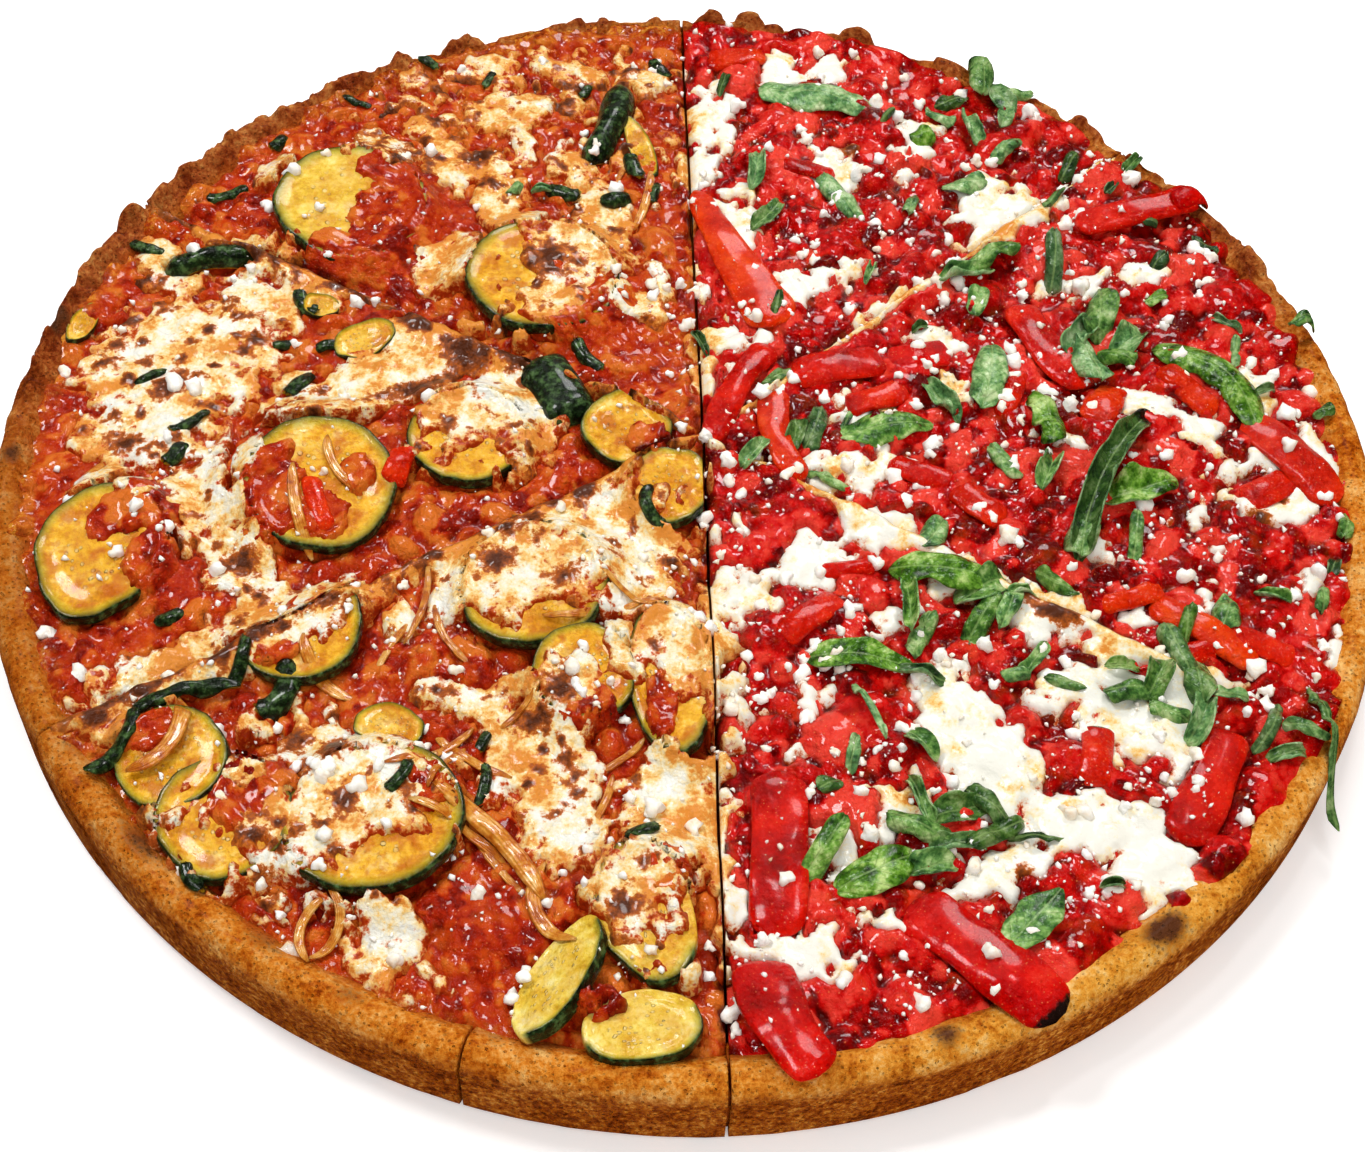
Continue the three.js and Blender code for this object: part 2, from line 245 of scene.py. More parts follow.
def mark(tree, name):
    return add(tree, "ShaderNodeAttribute", {"attribute_name": name}).outputs["Fac"]


def noise(tree, size, detail=3.0, rough=0.55, seed=0.0):
    """Noise with features of about size millimetres, between 0 and 1."""
    where = add(tree, "ShaderNodeTexCoord").outputs["Object"]
    moved = add(tree, "ShaderNodeMapping", Vector=where)
    moved.inputs["Location"].default_value = (seed, 0.37 * seed, 0.11 * seed)
    at = {"Vector": moved.outputs["Vector"], "Scale": 1 / (size * MM)}
    return add(tree, "ShaderNodeTexNoise", Detail=detail, Roughness=rough, **at).outputs["Fac"]


def freckled(tree, value, grainy, amount):
    """A number made ragged by noise, which adds as often as it takes away."""
    return plus(tree, value, times(tree, minus(tree, grainy, 0.5), amount))


def cells(tree, size):
    """The distance from the middles of cells about size millimetres wide."""
    where = add(tree, "ShaderNodeTexCoord").outputs["Object"]
    return add(tree, "ShaderNodeTexVoronoi", Vector=where, Scale=1 / (size * MM)).outputs["Distance"]


def bumps(tree, *layers):
    """Bump from (height, depth in mm) pairs, one over the other."""
    normal = None
    for height, depth in layers:
        made = add(tree, "ShaderNodeBump", Height=height, Strength=1.0, Distance=depth * MM)
        if normal is not None:
            tree.links.new(normal, made.inputs["Normal"])
        normal = made.outputs["Normal"]
    return normal


def finish_of(name, colour_of, rough=0.4, coat=0.0, coat_rough=0.1, specular=0.5):
    """A material from a function that is given the node tree and returns colour, roughness and normal."""
    material = bpy.data.materials.new(name)
    material.use_nodes = True
    tree = material.node_tree
    shader = tree.nodes["Principled BSDF"]
    colour, roughness, normal = colour_of(tree)
    tree.links.new(colour, shader.inputs["Base Color"])
    if roughness is None:
        shader.inputs["Roughness"].default_value = rough
    else:
        tree.links.new(roughness, shader.inputs["Roughness"])
    if normal is not None:
        tree.links.new(normal, shader.inputs["Normal"])
    shader.inputs["Specular IOR Level"].default_value = specular
    shader.inputs["Coat Weight"].default_value = coat
    shader.inputs["Coat Roughness"].default_value = coat_rough
    return material


# %% The floor
def floor_colours(tree):
    return mix(tree, noise(tree, 90, 2), "#f6f5f3", "#fbfaf9"), None, None


floor_mesh = bpy.data.meshes.new("floor")
FLOOR = 6.0
floor_mesh.from_pydata(
    [(-FLOOR, -FLOOR, 0), (FLOOR, -FLOOR, 0), (FLOOR, FLOOR, 0), (-FLOOR, FLOOR, 0)], [], [(0, 1, 2, 3)]
)
floor = bpy.data.objects.new("floor", floor_mesh)
scene.collection.objects.link(floor)
floor_finish = finish_of("floor_finish", floor_colours, rough=0.9, specular=0.2)
lit = floor_finish.node_tree.nodes["Principled BSDF"].inputs
lit["Emission Color"].default_value = (1, 1, 1, 1)
lit["Emission Strength"].default_value = 0.28  # the table glows a little, so that its shadow stays pale
floor_mesh.materials.append(floor_finish)
floor.visible_glossy = False
floor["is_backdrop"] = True

# %% [markdown]
# ## Making meshes
# Every piece comes from numpy arrays: points in millimetres, and faces as arrays of point numbers. A piece can carry
# marks, which are numbers at each point that its finish reads, such as how browned the cheese is there.


# %% Helpers for meshes
def piece(name, points, faces, material, marks=None):
    """A smooth shaded mesh from points in millimetres and groups of faces."""
    mesh = bpy.data.meshes.new(name)
    faces = [np.asarray(group) for group in faces if len(group)]
    loops = np.concatenate([group.ravel() for group in faces]).astype(np.int32)
    sizes = np.concatenate([np.full(len(group), group.shape[1]) for group in faces])
    starts = np.concatenate([[0], np.cumsum(sizes)[:-1]]).astype(np.int32)
    mesh.vertices.add(len(points))
    mesh.vertices.foreach_set("co", (np.asarray(points) * MM).astype(np.float32).ravel())
    mesh.loops.add(len(loops))
    mesh.loops.foreach_set("vertex_index", loops)
    mesh.polygons.add(len(sizes))
    mesh.polygons.foreach_set("loop_start", starts)
    mesh.update(calc_edges=True)
    for key, values in (marks or {}).items():
        kind = "FLOAT_VECTOR" if np.ndim(values) == 2 else "FLOAT"
        made = mesh.attributes.new(key, kind, "POINT")
        made.data.foreach_set("vector" if kind == "FLOAT_VECTOR" else "value", np.asarray(values, np.float32).ravel())
    face_out(mesh)
    mesh.polygons.foreach_set("use_smooth", np.full(len(mesh.polygons), True))
    mesh.materials.append(material)
    return in_scene(name, mesh)


def face_out(mesh):
    shell = bmesh.new()
    shell.from_mesh(mesh)
    bmesh.ops.recalc_face_normals(shell, faces=shell.faces)
    shell.to_mesh(mesh)
    shell.free()


def hand_over(made, slot, *nodes):
    """The piece rides on the pizza and stands for CAD nodes, whose parts are hidden. slot is not used."""
    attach(made, "root")
    if nodes:
        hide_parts(*nodes)
    return made


class Batch:
    """Gathers many small shapes with the same finish into one piece."""

    def __init__(self):
        self.points, self.faces, self.marks, self.count = [], [], {}, 0

    def take(self, points, faces, **marks):
        self.points.append(points)
        self.faces += [np.asarray(group) + self.count for group in faces if len(group)]
        for key, values in marks.items():
            self.marks.setdefault(key, []).append(np.broadcast_to(values, (len(points),) + np.shape(values)[1:]))
        self.count += len(points)

    def made(self, name, material):
        marks = {key: np.concatenate(values) for key, values in self.marks.items()}
        return piece(name, np.concatenate(self.points), self.faces, material, marks)


# %% [markdown]
# ## Noise for shapes
# Shaders have noise textures, but real relief needs numbers in the mesh. `grain` gives smooth random values at any
# points in space, and a `Map` holds a height for each half millimetre of the pizza, seen from above. A map is a quick
# way to stamp thousands of tomato lumps, because each stamp touches only the cells under it.


# %% Noise and maps
def grain(points, size, seed=0, octaves=1):
    """Smooth noise from -1 to 1 at (n, 3) points, with features of about size."""
    total, weight, most = 0, 1.0, 0.0
    for octave in range(octaves):
        q = np.asarray(points, float) / (size / 2**octave) + 17.3 * octave
        cell = np.floor(q).astype(np.int64)
        f = q - cell
        f = f * f * (3 - 2 * f)
        value = 0
        for corner in range(8):
            step = np.array([corner & 1, corner >> 1 & 1, corner >> 2 & 1])
            k = (cell + step) * np.array([73856093, 19349663, 83492791])
            h = (k[:, 0] ^ k[:, 1] ^ k[:, 2]) + 2654435761 * (seed + 31 * octave + 1)
            h = (h ^ (h >> 15)) * 2246822519 & 0xFFFFFFFF
            h = (h ^ (h >> 13)) * 3266489917 & 0xFFFFFFFF
            weights = np.prod(np.where(step, f, 1 - f), axis=1)
            value = value + weights * ((h ^ (h >> 16)) & 0xFFFF) / 32767.5
        total = total + weight * (value - 1)
        most += weight
        weight *= 0.5
    return total / most


STEP = 0.5
SIDE = 190.0
AXIS = np.arange(-SIDE, SIDE + STEP / 2, STEP)
MAP_X, MAP_Y = np.meshgrid(AXIS, AXIS)
MAP_R = np.hypot(MAP_X, MAP_Y)


def read(values, x, y):
    """A map's value at points, between its cells."""
    i = np.clip((np.asarray(x) + SIDE) / STEP, 0, len(AXIS) - 1.001)
    j = np.clip((np.asarray(y) + SIDE) / STEP, 0, len(AXIS) - 1.001)
    a, b = i.astype(int), j.astype(int)
    u, v = i - a, j - b
    low = values[b, a] * (1 - u) + values[b, a + 1] * u
    high = values[b + 1, a] * (1 - u) + values[b + 1, a + 1] * u
    return low * (1 - v) + high * v


def soften(values, width):
    """A map blurred over about width millimetres."""
    k = np.fft.fftfreq(len(AXIS), STEP)
    fall = np.exp(-2 * (np.pi * width / 2) ** 2 * (k[None, : len(k) // 2 + 1] ** 2 + k[:, None] ** 2))
    return np.fft.irfft2(np.fft.rfft2(values) * fall, s=values.shape)


def cloud(size, seed):
    """A map of smooth noise, mostly between -1 and 1."""
    spots = np.random.default_rng(seed).standard_normal(MAP_X.shape)
    soft = soften(spots, size * 0.5)
    return soft / (soft.std() * 2)


def window(x, y, reach):
    """The part of a map within reach of a point, as slices and as offsets."""
    i, j = int(round((x + SIDE) / STEP)), int(round((y + SIDE) / STEP))
    n = int(math.ceil(reach / STEP)) + 1
    rows = slice(max(j - n, 0), min(j + n + 1, len(AXIS)))
    columns = slice(max(i - n, 0), min(i + n + 1, len(AXIS)))
    return rows, columns, MAP_X[rows, columns] - x, MAP_Y[rows, columns] - y


def oval(dx, dy, a, b, degrees):
    """How far out each offset lies in an oval: 0 in its middle, 1 on its edge."""
    c, s = unit(degrees)
    return np.hypot((dx * c + dy * s) / a, (dy * c - dx * s) / b)


def press(target, ovals, reach, height):
    """Raises a map to height(q) round each oval, where q is 0 in its middle and 1 on its edge."""
    for x, y, a, b, angle, *more in ovals:
        rows, columns, dx, dy = window(x, y, reach * max(a, b))
        part = target[rows, columns]
        np.maximum(part, height(oval(dx, dy, a, b, angle), *more), out=part)
    return target


def blank(value):
    return np.full(MAP_X.shape, value)


def span_of(i):
    """Where slice i begins and ends, in degrees, and the point of its tip."""
    first, second = CUTS[i], CUTS[(i + 1) % len(CUTS)]
    second += 360 if second < first else 0
    half = math.radians(second - first) / 2
    return first, second, HUB + unit((first + second) / 2) * (KERF / 2 / math.sin(half))


def slice_at(x, y):
    angle = np.degrees(np.arctan2(y - HUB[1], x - HUB[0])) % 360
    turned = (angle - CUTS[0]) % 360
    steps = np.array([(cut - CUTS[0]) % 360 for cut in CUTS])
    return np.searchsorted(steps, turned, side="right") - 1


MAP_SLICE = slice_at(MAP_X, MAP_Y)
MAP_COURGETTE = np.isin(MAP_SLICE, COURGETTE)
print("maps of", MAP_X.shape, "cells")

# %% [markdown]
# ## Where the toppings lie
# Sauce and cheese lie round the large toppings and over parts of them, so the bed has to know their height. Each CAD
# topping is drawn into a map, triangle by triangle, as a plan of its upper side.


# %% A plan of the toppings' heights
def roof_plan(names):
    plan = blank(-1.0)
    for name in names:
        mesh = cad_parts[name].data
        mesh.calc_loop_triangles()
        places = np.empty(len(mesh.vertices) * 3)
        mesh.vertices.foreach_get("co", places)
        places = places.reshape(-1, 3) / MM
        order = np.empty(len(mesh.loop_triangles) * 3, np.int32)
        mesh.loop_triangles.foreach_get("vertices", order)
        for a, b, c in places[order.reshape(-1, 3)]:
            area = (b[0] - a[0]) * (c[1] - a[1]) - (b[1] - a[1]) * (c[0] - a[0])
            if area <= 0.01:
                continue
            middle = (a + b + c) / 3
            reach = max(np.hypot(*(p - middle)[:2]) for p in (a, b, c))
            rows, columns, dx, dy = window(middle[0], middle[1], reach)
            x, y = dx + middle[0], dy + middle[1]
            u = ((b[0] - x) * (c[1] - y) - (b[1] - y) * (c[0] - x)) / area
            v = ((c[0] - x) * (a[1] - y) - (c[1] - y) * (a[0] - x)) / area
            inside = (u >= 0) & (v >= 0) & (u + v <= 1)
            height = u * a[2] + v * b[2] + (1 - u - v) * c[2]
            part = plan[rows, columns]
            part[inside] = np.maximum(part, height)[inside]
    return plan


def skirted(values, fall):
    """A map whose high places slope down outwards, fall millimetres to the millimetre."""
    best = np.maximum(values, 0)
    for _ in range(16):
        for up, along in ((0, 1), (0, -1), (1, 0), (-1, 0), (1, 1), (-1, -1), (1, -1), (-1, 1)):
            best = np.maximum(best, np.roll(best, (up, along), (0, 1)) - fall * STEP * math.hypot(up, along))
    return best


CURLS = ["zucchini_02", "zucchini_04", "zucchini_05"]
DISC_ROOF = roof_plan([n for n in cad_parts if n.startswith("zucchini") and n not in CURLS])
STRIP_ROOF = roof_plan([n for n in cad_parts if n.startswith("red_pepper")] + CURLS)
ROOF = np.maximum(DISC_ROOF, STRIP_ROOF)
SKIRT = soften(skirted(DISC_ROOF, 0.5), 0.8)
UNDER_TOPPING = soften((ROOF > 0).astype(float), 0.9)
BESIDE_TOPPING = soften((ROOF > 0).astype(float), 5)
print("the large toppings cover", round((ROOF > 0).mean() * 4 * SIDE**2 / 100), "cm2")

# %% [markdown]
# ## Tomato
# Crushed tomato is a crowd of soft lumps from 2 to 27 mm long. Each lump here is a dome, stamped so that the higher
# of two neighbours wins, which leaves the sharp creases that real lumps have between them. The tomato half is chunky,
# and the courgette half is a smoother sauce.


# %% Stamp the tomato lumps
def raise_dome(height, hue, dome, rows, columns, tone):
    """Keeps a dome where it is higher than what is there, with the hue of its own lump."""
    part, tones = height[rows, columns], hue[rows, columns]
    higher = dome > part
    part[higher] = dome[higher]
    tones[higher] = tone


def stamp_lumps(height, hue, seed, count, sizes, rise, where):
    """Domes of random size and turn, kept where the plan says so. hue gets a random number for each lump."""
    draw = np.random.default_rng(seed)
    for _ in range(count):
        r, a = 174 * math.sqrt(draw.random()), draw.random() * math.tau
        x, y = r * math.cos(a), r * math.sin(a)
        size = draw.uniform(*sizes)
        long = size * draw.uniform(1.0, 1.7)
        angle, tone = draw.uniform(0, 180), draw.random()
        top = draw.uniform(*rise)
        if draw.random() > read(where, x, y):
            continue
        rows, columns, dx, dy = window(x, y, long)
        q = oval(dx, dy, long, size, angle)
        dome = top * np.clip(1 - q**2, 0, 1) ** 0.55 - np.where(q < 1, 0, 9)
        raise_dome(height, hue, dome, rows, columns, tone)


lumps, lump_tone = blank(0.0), blank(0.4)
chunky = np.where(MAP_COURGETTE, 0.0, 1.0)
saucy = 1 - chunky
stamp_lumps(lumps, lump_tone, 11, 4200, (1.2, 2.6), (0.6, 2.4), chunky)
stamp_lumps(lumps, lump_tone, 12, 2100, (2.4, 4.6), (1.4, 4.0), chunky)
stamp_lumps(lumps, lump_tone, 13, 260, (4.5, 8.0), (2.8, 4.6), chunky)
stamp_lumps(lumps, lump_tone, 14, 6000, (1.0, 2.2), (0.4, 1.9), saucy)
stamp_lumps(lumps, lump_tone, 15, 1300, (2.0, 4.4), (0.9, 2.8), saucy)

# Large pieces of tomato: x, y, half length, half width, turn, height.
BIG_TOMATO = [
    (140, -98, 13, 9, 70, 4.6), (152, -84, 9, 6, 60, 4.0), (42, -80, 9, 7, 20, 3.8), (50, -90, 8, 6, 60, 3.8),
    (20, -56, 9, 8, 30, 4.4), (38, -62, 8, 5, -30, 3.6), (96, -93, 7, 12, 60, 3.6), (108, -104, 7, 8, 20, 4.2),
    (34, -150, 8, 8, 0, 3.6), (50, -138, 6, 9, 30, 3.4), (88, -142, 9, 8, 40, 4.0), (96, -128, 7, 8, 10, 3.6),
    (14, -30, 9, 7, 10, 3.4), (28, -18, 12, 5, -8, 3.2), (60, 32, 13, 6, 10, 3.8), (34, 30, 8, 8, 40, 3.6),
    (112, -8, 7, 9, 30, 3.4), (142, -18, 9, 7, -60, 4.0), (153, -62, 11, 5, -60, 3.6), (166, -42, 6, 9, 10, 3.4),
    (118, 62, 8, 7, 20, 3.6), (26, 158, 12, 9, 10, 3.4), (54, 156, 8, 7, 0, 3.4), (160, 44, 6, 8, 20, 3.2),
    (-70, 84, 12, 11, 10, 2.0), (-145, -78, 12, 9, 20, 2.6), (-124, -44, 8, 12, 10, 2.6),
    (-45, -138, 10, 9, 60, 2.4), (-60, 24, 6, 5, 0, 2.0),
]
for x, y, a, b, angle, top in BIG_TOMATO:
    rows, columns, dx, dy = window(x, y, max(a, b))
    q = oval(dx, dy, a, b, angle)
    dome = top * np.clip(1 - q**3, 0, 1) ** 0.6 - np.where(q < 1, 0, 9)
    raise_dome(lumps, lump_tone, dome, rows, columns, 0.25 + 0.5 * ((x * 7 + y * 3) % 10) / 10)
lumps = soften(lumps, 0.6) + 0.16 * cloud(1.6, 16)
curds = blank(0.0)
stamp_lumps(curds, blank(0.0), 18, 11000, (1.3, 3.2), (0.5, 1.0), blank(1.0))
curds = soften(curds, 0.8)
curds = (curds - curds.mean()) / curds.std()
print(f"tomato lumps rise up to {lumps.max():.1f} mm")

# %% [markdown]
# ## Cheese
# Melted cheese lies in ragged sheets. Each patch is a listed oval, and noise tears its edges. The number in
# `cheese_cover` is above 0 where there is cheese. Where a patch crosses a courgette slice it drapes over it.
# On the courgette half the cheese is browned in blotches, and on the tomato half it is nearly white.

# %% Cheese patches: x, y, half length, half width, turn, strength
PATCHES = [
    (-135, 32, 22, 17, 30, 1.0), (-140, 5, 18, 11, 10, 0.9), (-120, 45, 14, 9, 60, 0.6), (-150, -12, 9, 5, 60, 0.7),
    (-125, -18, 6, 12, 20, 0.9), (-112, -38, 7, 12, 30, 0.9), (-104, -50, 8, 6, 0, 0.6), (-85, 18, 20, 6, 20, 1.0),
    (-74, 32, 14, 7, 25, 1.0), (-47, 12, 8, 18, 0, 1.0), (-62, -2, 11, 6, 20, 0.7), (-88, 27, 7, 4, 10, 0.8),
    (-109, 62, 6, 9, 60, 0.7), (-140, 60, 9, 5, 0, 0.7), (-148, 68, 4, 8, 20, 0.7), (-68, 70, 7, 12, -30, 1.0),
    (-55, 98, 8, 14, 10, 1.0), (-48, 84, 8, 7, 0, 0.8), (-24, 92, 6, 16, 15, 1.1), (-30, 74, 9, 9, 0, 0.9),
    (-14, 146, 9, 5, 10, 1.0), (-56, 135, 10, 5, 20, 0.9), (-35, 135, 5, 5, 0, 0.9), (-75, 125, 8, 12, 50, 0.7),
    (-95, 110, 9, 5, 40, 0.7), (-82, 142, 10, 8, 0, 0.6), (-48, 118, 4, 9, 10, 0.8), (-18, 54, 12, 4, -25, 0.9),
    (-7, 62, 3, 8, 20, 0.7), (-20, 128, 6, 6, 0, 0.5), (-62, 150, 12, 6, 10, 0.6), (-40, 150, 12, 5, 0, 0.7),
    (-30, 56, 9, 9, 0, 0.6), (-48, 48, 8, 5, 0, 0.5), (-20, -22, 18, 7, 25, 1.1), (-42, -40, 17, 12, 20, 1.1),
    (-24, -42, 8, 12, 0, 0.9), (-8, -30, 9, 6, 0, 0.8), (-95, -58, 18, 8, 25, 1.1), (-118, -68, 12, 6, 30, 1.0),
    (-132, -82, 9, 5, 50, 0.9), (-80, -115, 20, 10, 15, 1.1), (-88, -92, 8, 6, 20, 0.6), (-72, -92, 7, 6, 0, 0.9),
    (-50, -77, 10, 5, 0, 0.8), (-35, -92, 10, 12, 20, 1.0), (-31, -108, 8, 8, 0, 0.8), (-26, -76, 6, 8, 10, 0.8),
    (-1, -68, 9, 13, 10, 1.0), (-2, -108, 10, 13, 20, 1.3), (-14, -132, 7, 13, 15, 1.0), (-66, -140, 6, 8, 10, 0.8),
    (-30, -118, 6, 5, 0, 0.6), (-110, -110, 8, 5, 30, 0.6), (-9, 118, 3, 8, 0, 0.4),
    # the tomato half
    (6, 132, 7, 16, -5, 1.0), (3, 112, 6, 10, 0, 0.9), (16, 88, 8, 14, 20, 0.9), (10, 60, 5, 14, 25, 0.7),
    (40, 110, 8, 10, 0, 1.0), (28, 152, 6, 9, 20, 1.0), (43, 154, 8, 6, 60, 1.0), (66, 122, 8, 8, 0, 0.9),
    (86, 95, 13, 11, 25, 1.3), (62, 108, 5, 7, 0, 0.5), (34, 64, 16, 6, 20, 0.9), (55, 56, 14, 3, 38, 1.0),
    (12, 42, 12, 5, 5, 0.9), (7, 30, 5, 6, 0, 0.8), (110, 66, 14, 5, 10, 0.8), (124, 70, 9, 5, 0, 0.9),
    (68, 43, 7, 8, 60, 0.9), (72, 24, 5, 7, 10, 0.7), (48, 18, 10, 5, 30, 0.8), (46, -2, 14, 6, 15, 0.9),
    (32, 0, 8, 4, 0, 0.6), (120, 22, 9, 6, -20, 1.0), (100, 12, 6, 6, 0, 0.6), (136, 12, 6, 10, 20, 0.8),
    (152, 27, 5, 10, 30, 0.6), (148, 2, 12, 6, 10, 0.8), (152, -10, 10, 8, 0, 1.2), (165, 4, 3, 11, 10, 0.9),
    (130, -20, 5, 9, 10, 0.7), (128, -40, 4, 7, 0, 0.7), (102, -28, 5, 5, 0, 0.6), (50, -24, 12, 6, 0, 1.1),
    (68, -38, 9, 7, -30, 1.1), (30, -34, 10, 8, 30, 0.7), (14, -44, 8, 10, -30, 1.0), (12, -26, 6, 6, 0, 0.5),
    (88, -48, 11, 8, -20, 1.1), (105, -60, 8, 5, 0, 0.8), (126, -66, 8, 5, 0, 1.0), (112, -48, 6, 5, -30, 0.6),
    (64, -78, 8, 13, 5, 1.4), (72, -92, 11, 10, -30, 1.4), (90, -108, 14, 8, -15, 1.4), (106, -116, 10, 11, 0, 1.2),
    (106, -78, 12, 11, 20, 1.4), (92, -70, 9, 7, 20, 1.0), (118, -92, 6, 9, 30, 0.8), (116, -72, 10, 7, 0, 1.0),
    (49, -104, 8, 7, 0, 0.9), (50, -52, 7, 5, 30, 0.6), (66, -124, 9, 7, 20, 0.8), (76, -120, 7, 6, 0, 0.9),
    (11, -66, 3, 18, 0, 0.6), (11, -100, 3, 18, 0, 0.55), (11, -132, 4, 12, 0, 0.7), (26, -142, 10, 7, 0, 1.2),
    (35, -118, 6, 8, 30, 0.7), (44, -134, 7, 4, -20, 0.8), (24, -92, 4, 7, 0, 0.5), (28, -76, 7, 5, 0, 0.6),
    (156, -40, 4, 8, 0, 0.8), (160, -60, 4, 8, 0, 0.7),
]

cheese_cover = press(blank(-0.75), PATCHES, 1.6, lambda q, strength: strength * (1.5 - q) - 0.15)
tears = (0.28 * cloud(6, 21) + 0.12 * cloud(2.6, 22) + 0.17 * curds) * np.where(MAP_COURGETTE, 1.0, 1.5)
cheese_cover = soften(cheese_cover, 1.2) + tears - np.where(MAP_COURGETTE, 0.0, 0.16)

# The thickest sheets, browned on top: x, y, half length, half width, turn.
SHEETS = [
    (-112, -64, 36, 10, 27), (-36, -38, 28, 16, 24), (-80, -111, 30, 15, 12), (-36, -92, 12, 15, 10),
    (-27, -108, 9, 14, 0), (-7, -128, 8, 22, 12), (-4, -108, 8, 9, 0), (-114, -30, 22, 8, -55), (-14, -66, 9, 10, 0),
    (-20, -28, 16, 9, 0), (-12, -42, 9, 12, 0), (-86, -92, 11, 8, 0), (-136, 26, 20, 24, 10), (-138, 0, 18, 8, 0),
    (-118, 50, 14, 10, -20), (-82, 24, 34, 7, 22), (-70, 36, 14, 8, 20), (-46, 14, 12, 22, 0), (-80, 38, 8, 6, 20),
    (-66, 68, 8, 14, -35), (-54, 96, 9, 16, 0), (-26, 88, 9, 20, 12), (-30, 72, 14, 12, 0), (-16, 56, 12, 5, -28),
    (-52, 130, 18, 6, 30), (-34, 112, 10, 10, 0), (-16, 148, 9, 7, 0), (-34, 148, 12, 6, 0), (-68, 108, 10, 12, 20),
    (-88, 116, 12, 6, -30), (-120, 104, 9, 4, 60), (-145, 66, 7, 9, 40), (-125, 72, 12, 5, -10), (-100, 52, 6, 5, 0),
    (-66, -142, 8, 9, 0), (-70, -54, 4, 6, 0), (-57, -48, 8, 4, 20), (-62, -74, 5, 4, 0), (-50, -78, 8, 5, 0),
]
sheets = press(blank(-1.0), SHEETS, 1.5, lambda q: 1.5 * (1.08 - q))
sheets = np.minimum(sheets, 0.9) + 0.36 * cloud(6, 51) + 0.18 * cloud(2.8, 52) + 0.14 * curds
cheese_cover = np.maximum(cheese_cover, sheets)

# Thin sheets on the courgette half, more hole than cheese: x, y, half length, half width, turn.
MOTTLED = [
    (-62, 124, 40, 24, 30), (-40, 150, 46, 13, 8), (-88, 140, 26, 12, 40), (-18, 118, 20, 34, 10),
    (-28, 84, 20, 28, 0), (-40, 58, 20, 18, 0), (-138, 25, 26, 36, 10), (-110, 62, 22, 14, -30),
    (-82, 28, 36, 15, 22), (-50, 14, 22, 26, 0), (-118, -24, 14, 30, 20), (-100, -58, 32, 12, 25),
    (-130, -80, 16, 12, 50), (-80, -108, 34, 20, 10), (-36, -40, 28, 24, 20), (-36, -92, 20, 26, 20),
    (-10, -128, 14, 26, 10), (-92, -88, 16, 14, 0), (-74, -144, 30, 12, -25), (-12, -40, 14, 22, 0),
    (-110, -118, 24, 12, -45),
]
# Cheese draped over courgette slices: x, y, half length, half width, turn.
DRAPES = [
    (-33, 70, 17, 16, 0), (-38, 52, 9, 12, 0), (-58, 10, 15, 9, 10), (-47, -41, 19, 17, 20), (-28, -74, 9, 8, 0),
    (-4, -58, 9, 10, 0), (-99, -54, 16, 12, 25), (-78, -106, 21, 13, 10), (-10, -126, 7, 10, 0),
    (-101, -101, 8, 5, 0), (-127, -72, 14, 7, 40), (-86, 107, 9, 5, -30), (-139, -18, 7, 5, 20), (-112, -8, 5, 8, 0),
    (-6, -93, 5, 4, 0), (-4, -100, 9, 6, 0),
]
cheese_cover = cheese_cover - 0.4 * soften((DISC_ROOF > 0).astype(float), 2)
draped = press(blank(-1.0), DRAPES, 1.5, lambda q: 1.8 * (1.05 - q))
cheese_cover = np.maximum(cheese_cover, draped + 0.34 * cloud(6, 47) + 0.14 * curds - 0.1)

zone = press(blank(0.0), MOTTLED, 1.3, lambda q: smooth_step(q, 1.15, 0.75))
mottled = 0.16 + 0.44 * cloud(7, 41) + 0.32 * cloud(3.4, 42) + 0.14 * curds
cheese_cover = np.maximum(cheese_cover, mottled * zone - 1.2 * (1 - zone) - 0.4 * (DISC_ROOF > 0))

# Where sauce has run over a courgette slice: x, y, half length, half width, turn.
SAUCED = [
    (-84, 101, 8, 9, 0), (-18, -158, 5, 4, 0), (-80, 82, 15, 21, 0), (-96, 68, 10, 8, 0), (-90, 101, 5, 4, 0),
    (-27, 50, 15, 13, 0), (-32, 66, 6, 8, 0), (-105, -20, 8, 14, 0), (-92, -25, 7, 8, 0), (-84, -12, 5, 6, 0),
    (-137, -24, 11, 8, 30), (-132, -38, 6, 10, 0), (-146, -30, 4, 5, 0), (-98, -106, 11, 10, 0),
    (-62, -103, 10, 7, 0), (-11, 2, 6, 5, 0), (-24, -80, 8, 5, 0), (-92, -50, 8, 4, 20), (-100, -66, 8, 5, 20),
    (-50, 10, 5, 5, 0), (-124, -90, 7, 5, 40), (-6, -80, 4, 9, 0), (-4, -124, 5, 8, 0),
]
sauce_over = press(blank(-1.0), SAUCED, 1.6, lambda q: 1.5 * (1.12 - q))
sauce_over = sauce_over + 0.26 * cloud(5, 44) + 0.16 * cloud(2, 45)
cheese_cover = np.where(soften((STRIP_ROOF > 0).astype(float), 1.2) > 0.4, -0.4, cheese_cover)
print(f"cheese covers {(cheese_cover > 0)[MAP_R < 168].mean():.0%} of the filling")

# %% [markdown]
# Browning follows the high spots of the cheese and comes in blotches, most of them 3 to 8 mm across. A few spots on
# the tomato half were singed as well. Orange oil from the sauce stains the cheese between the blotches.

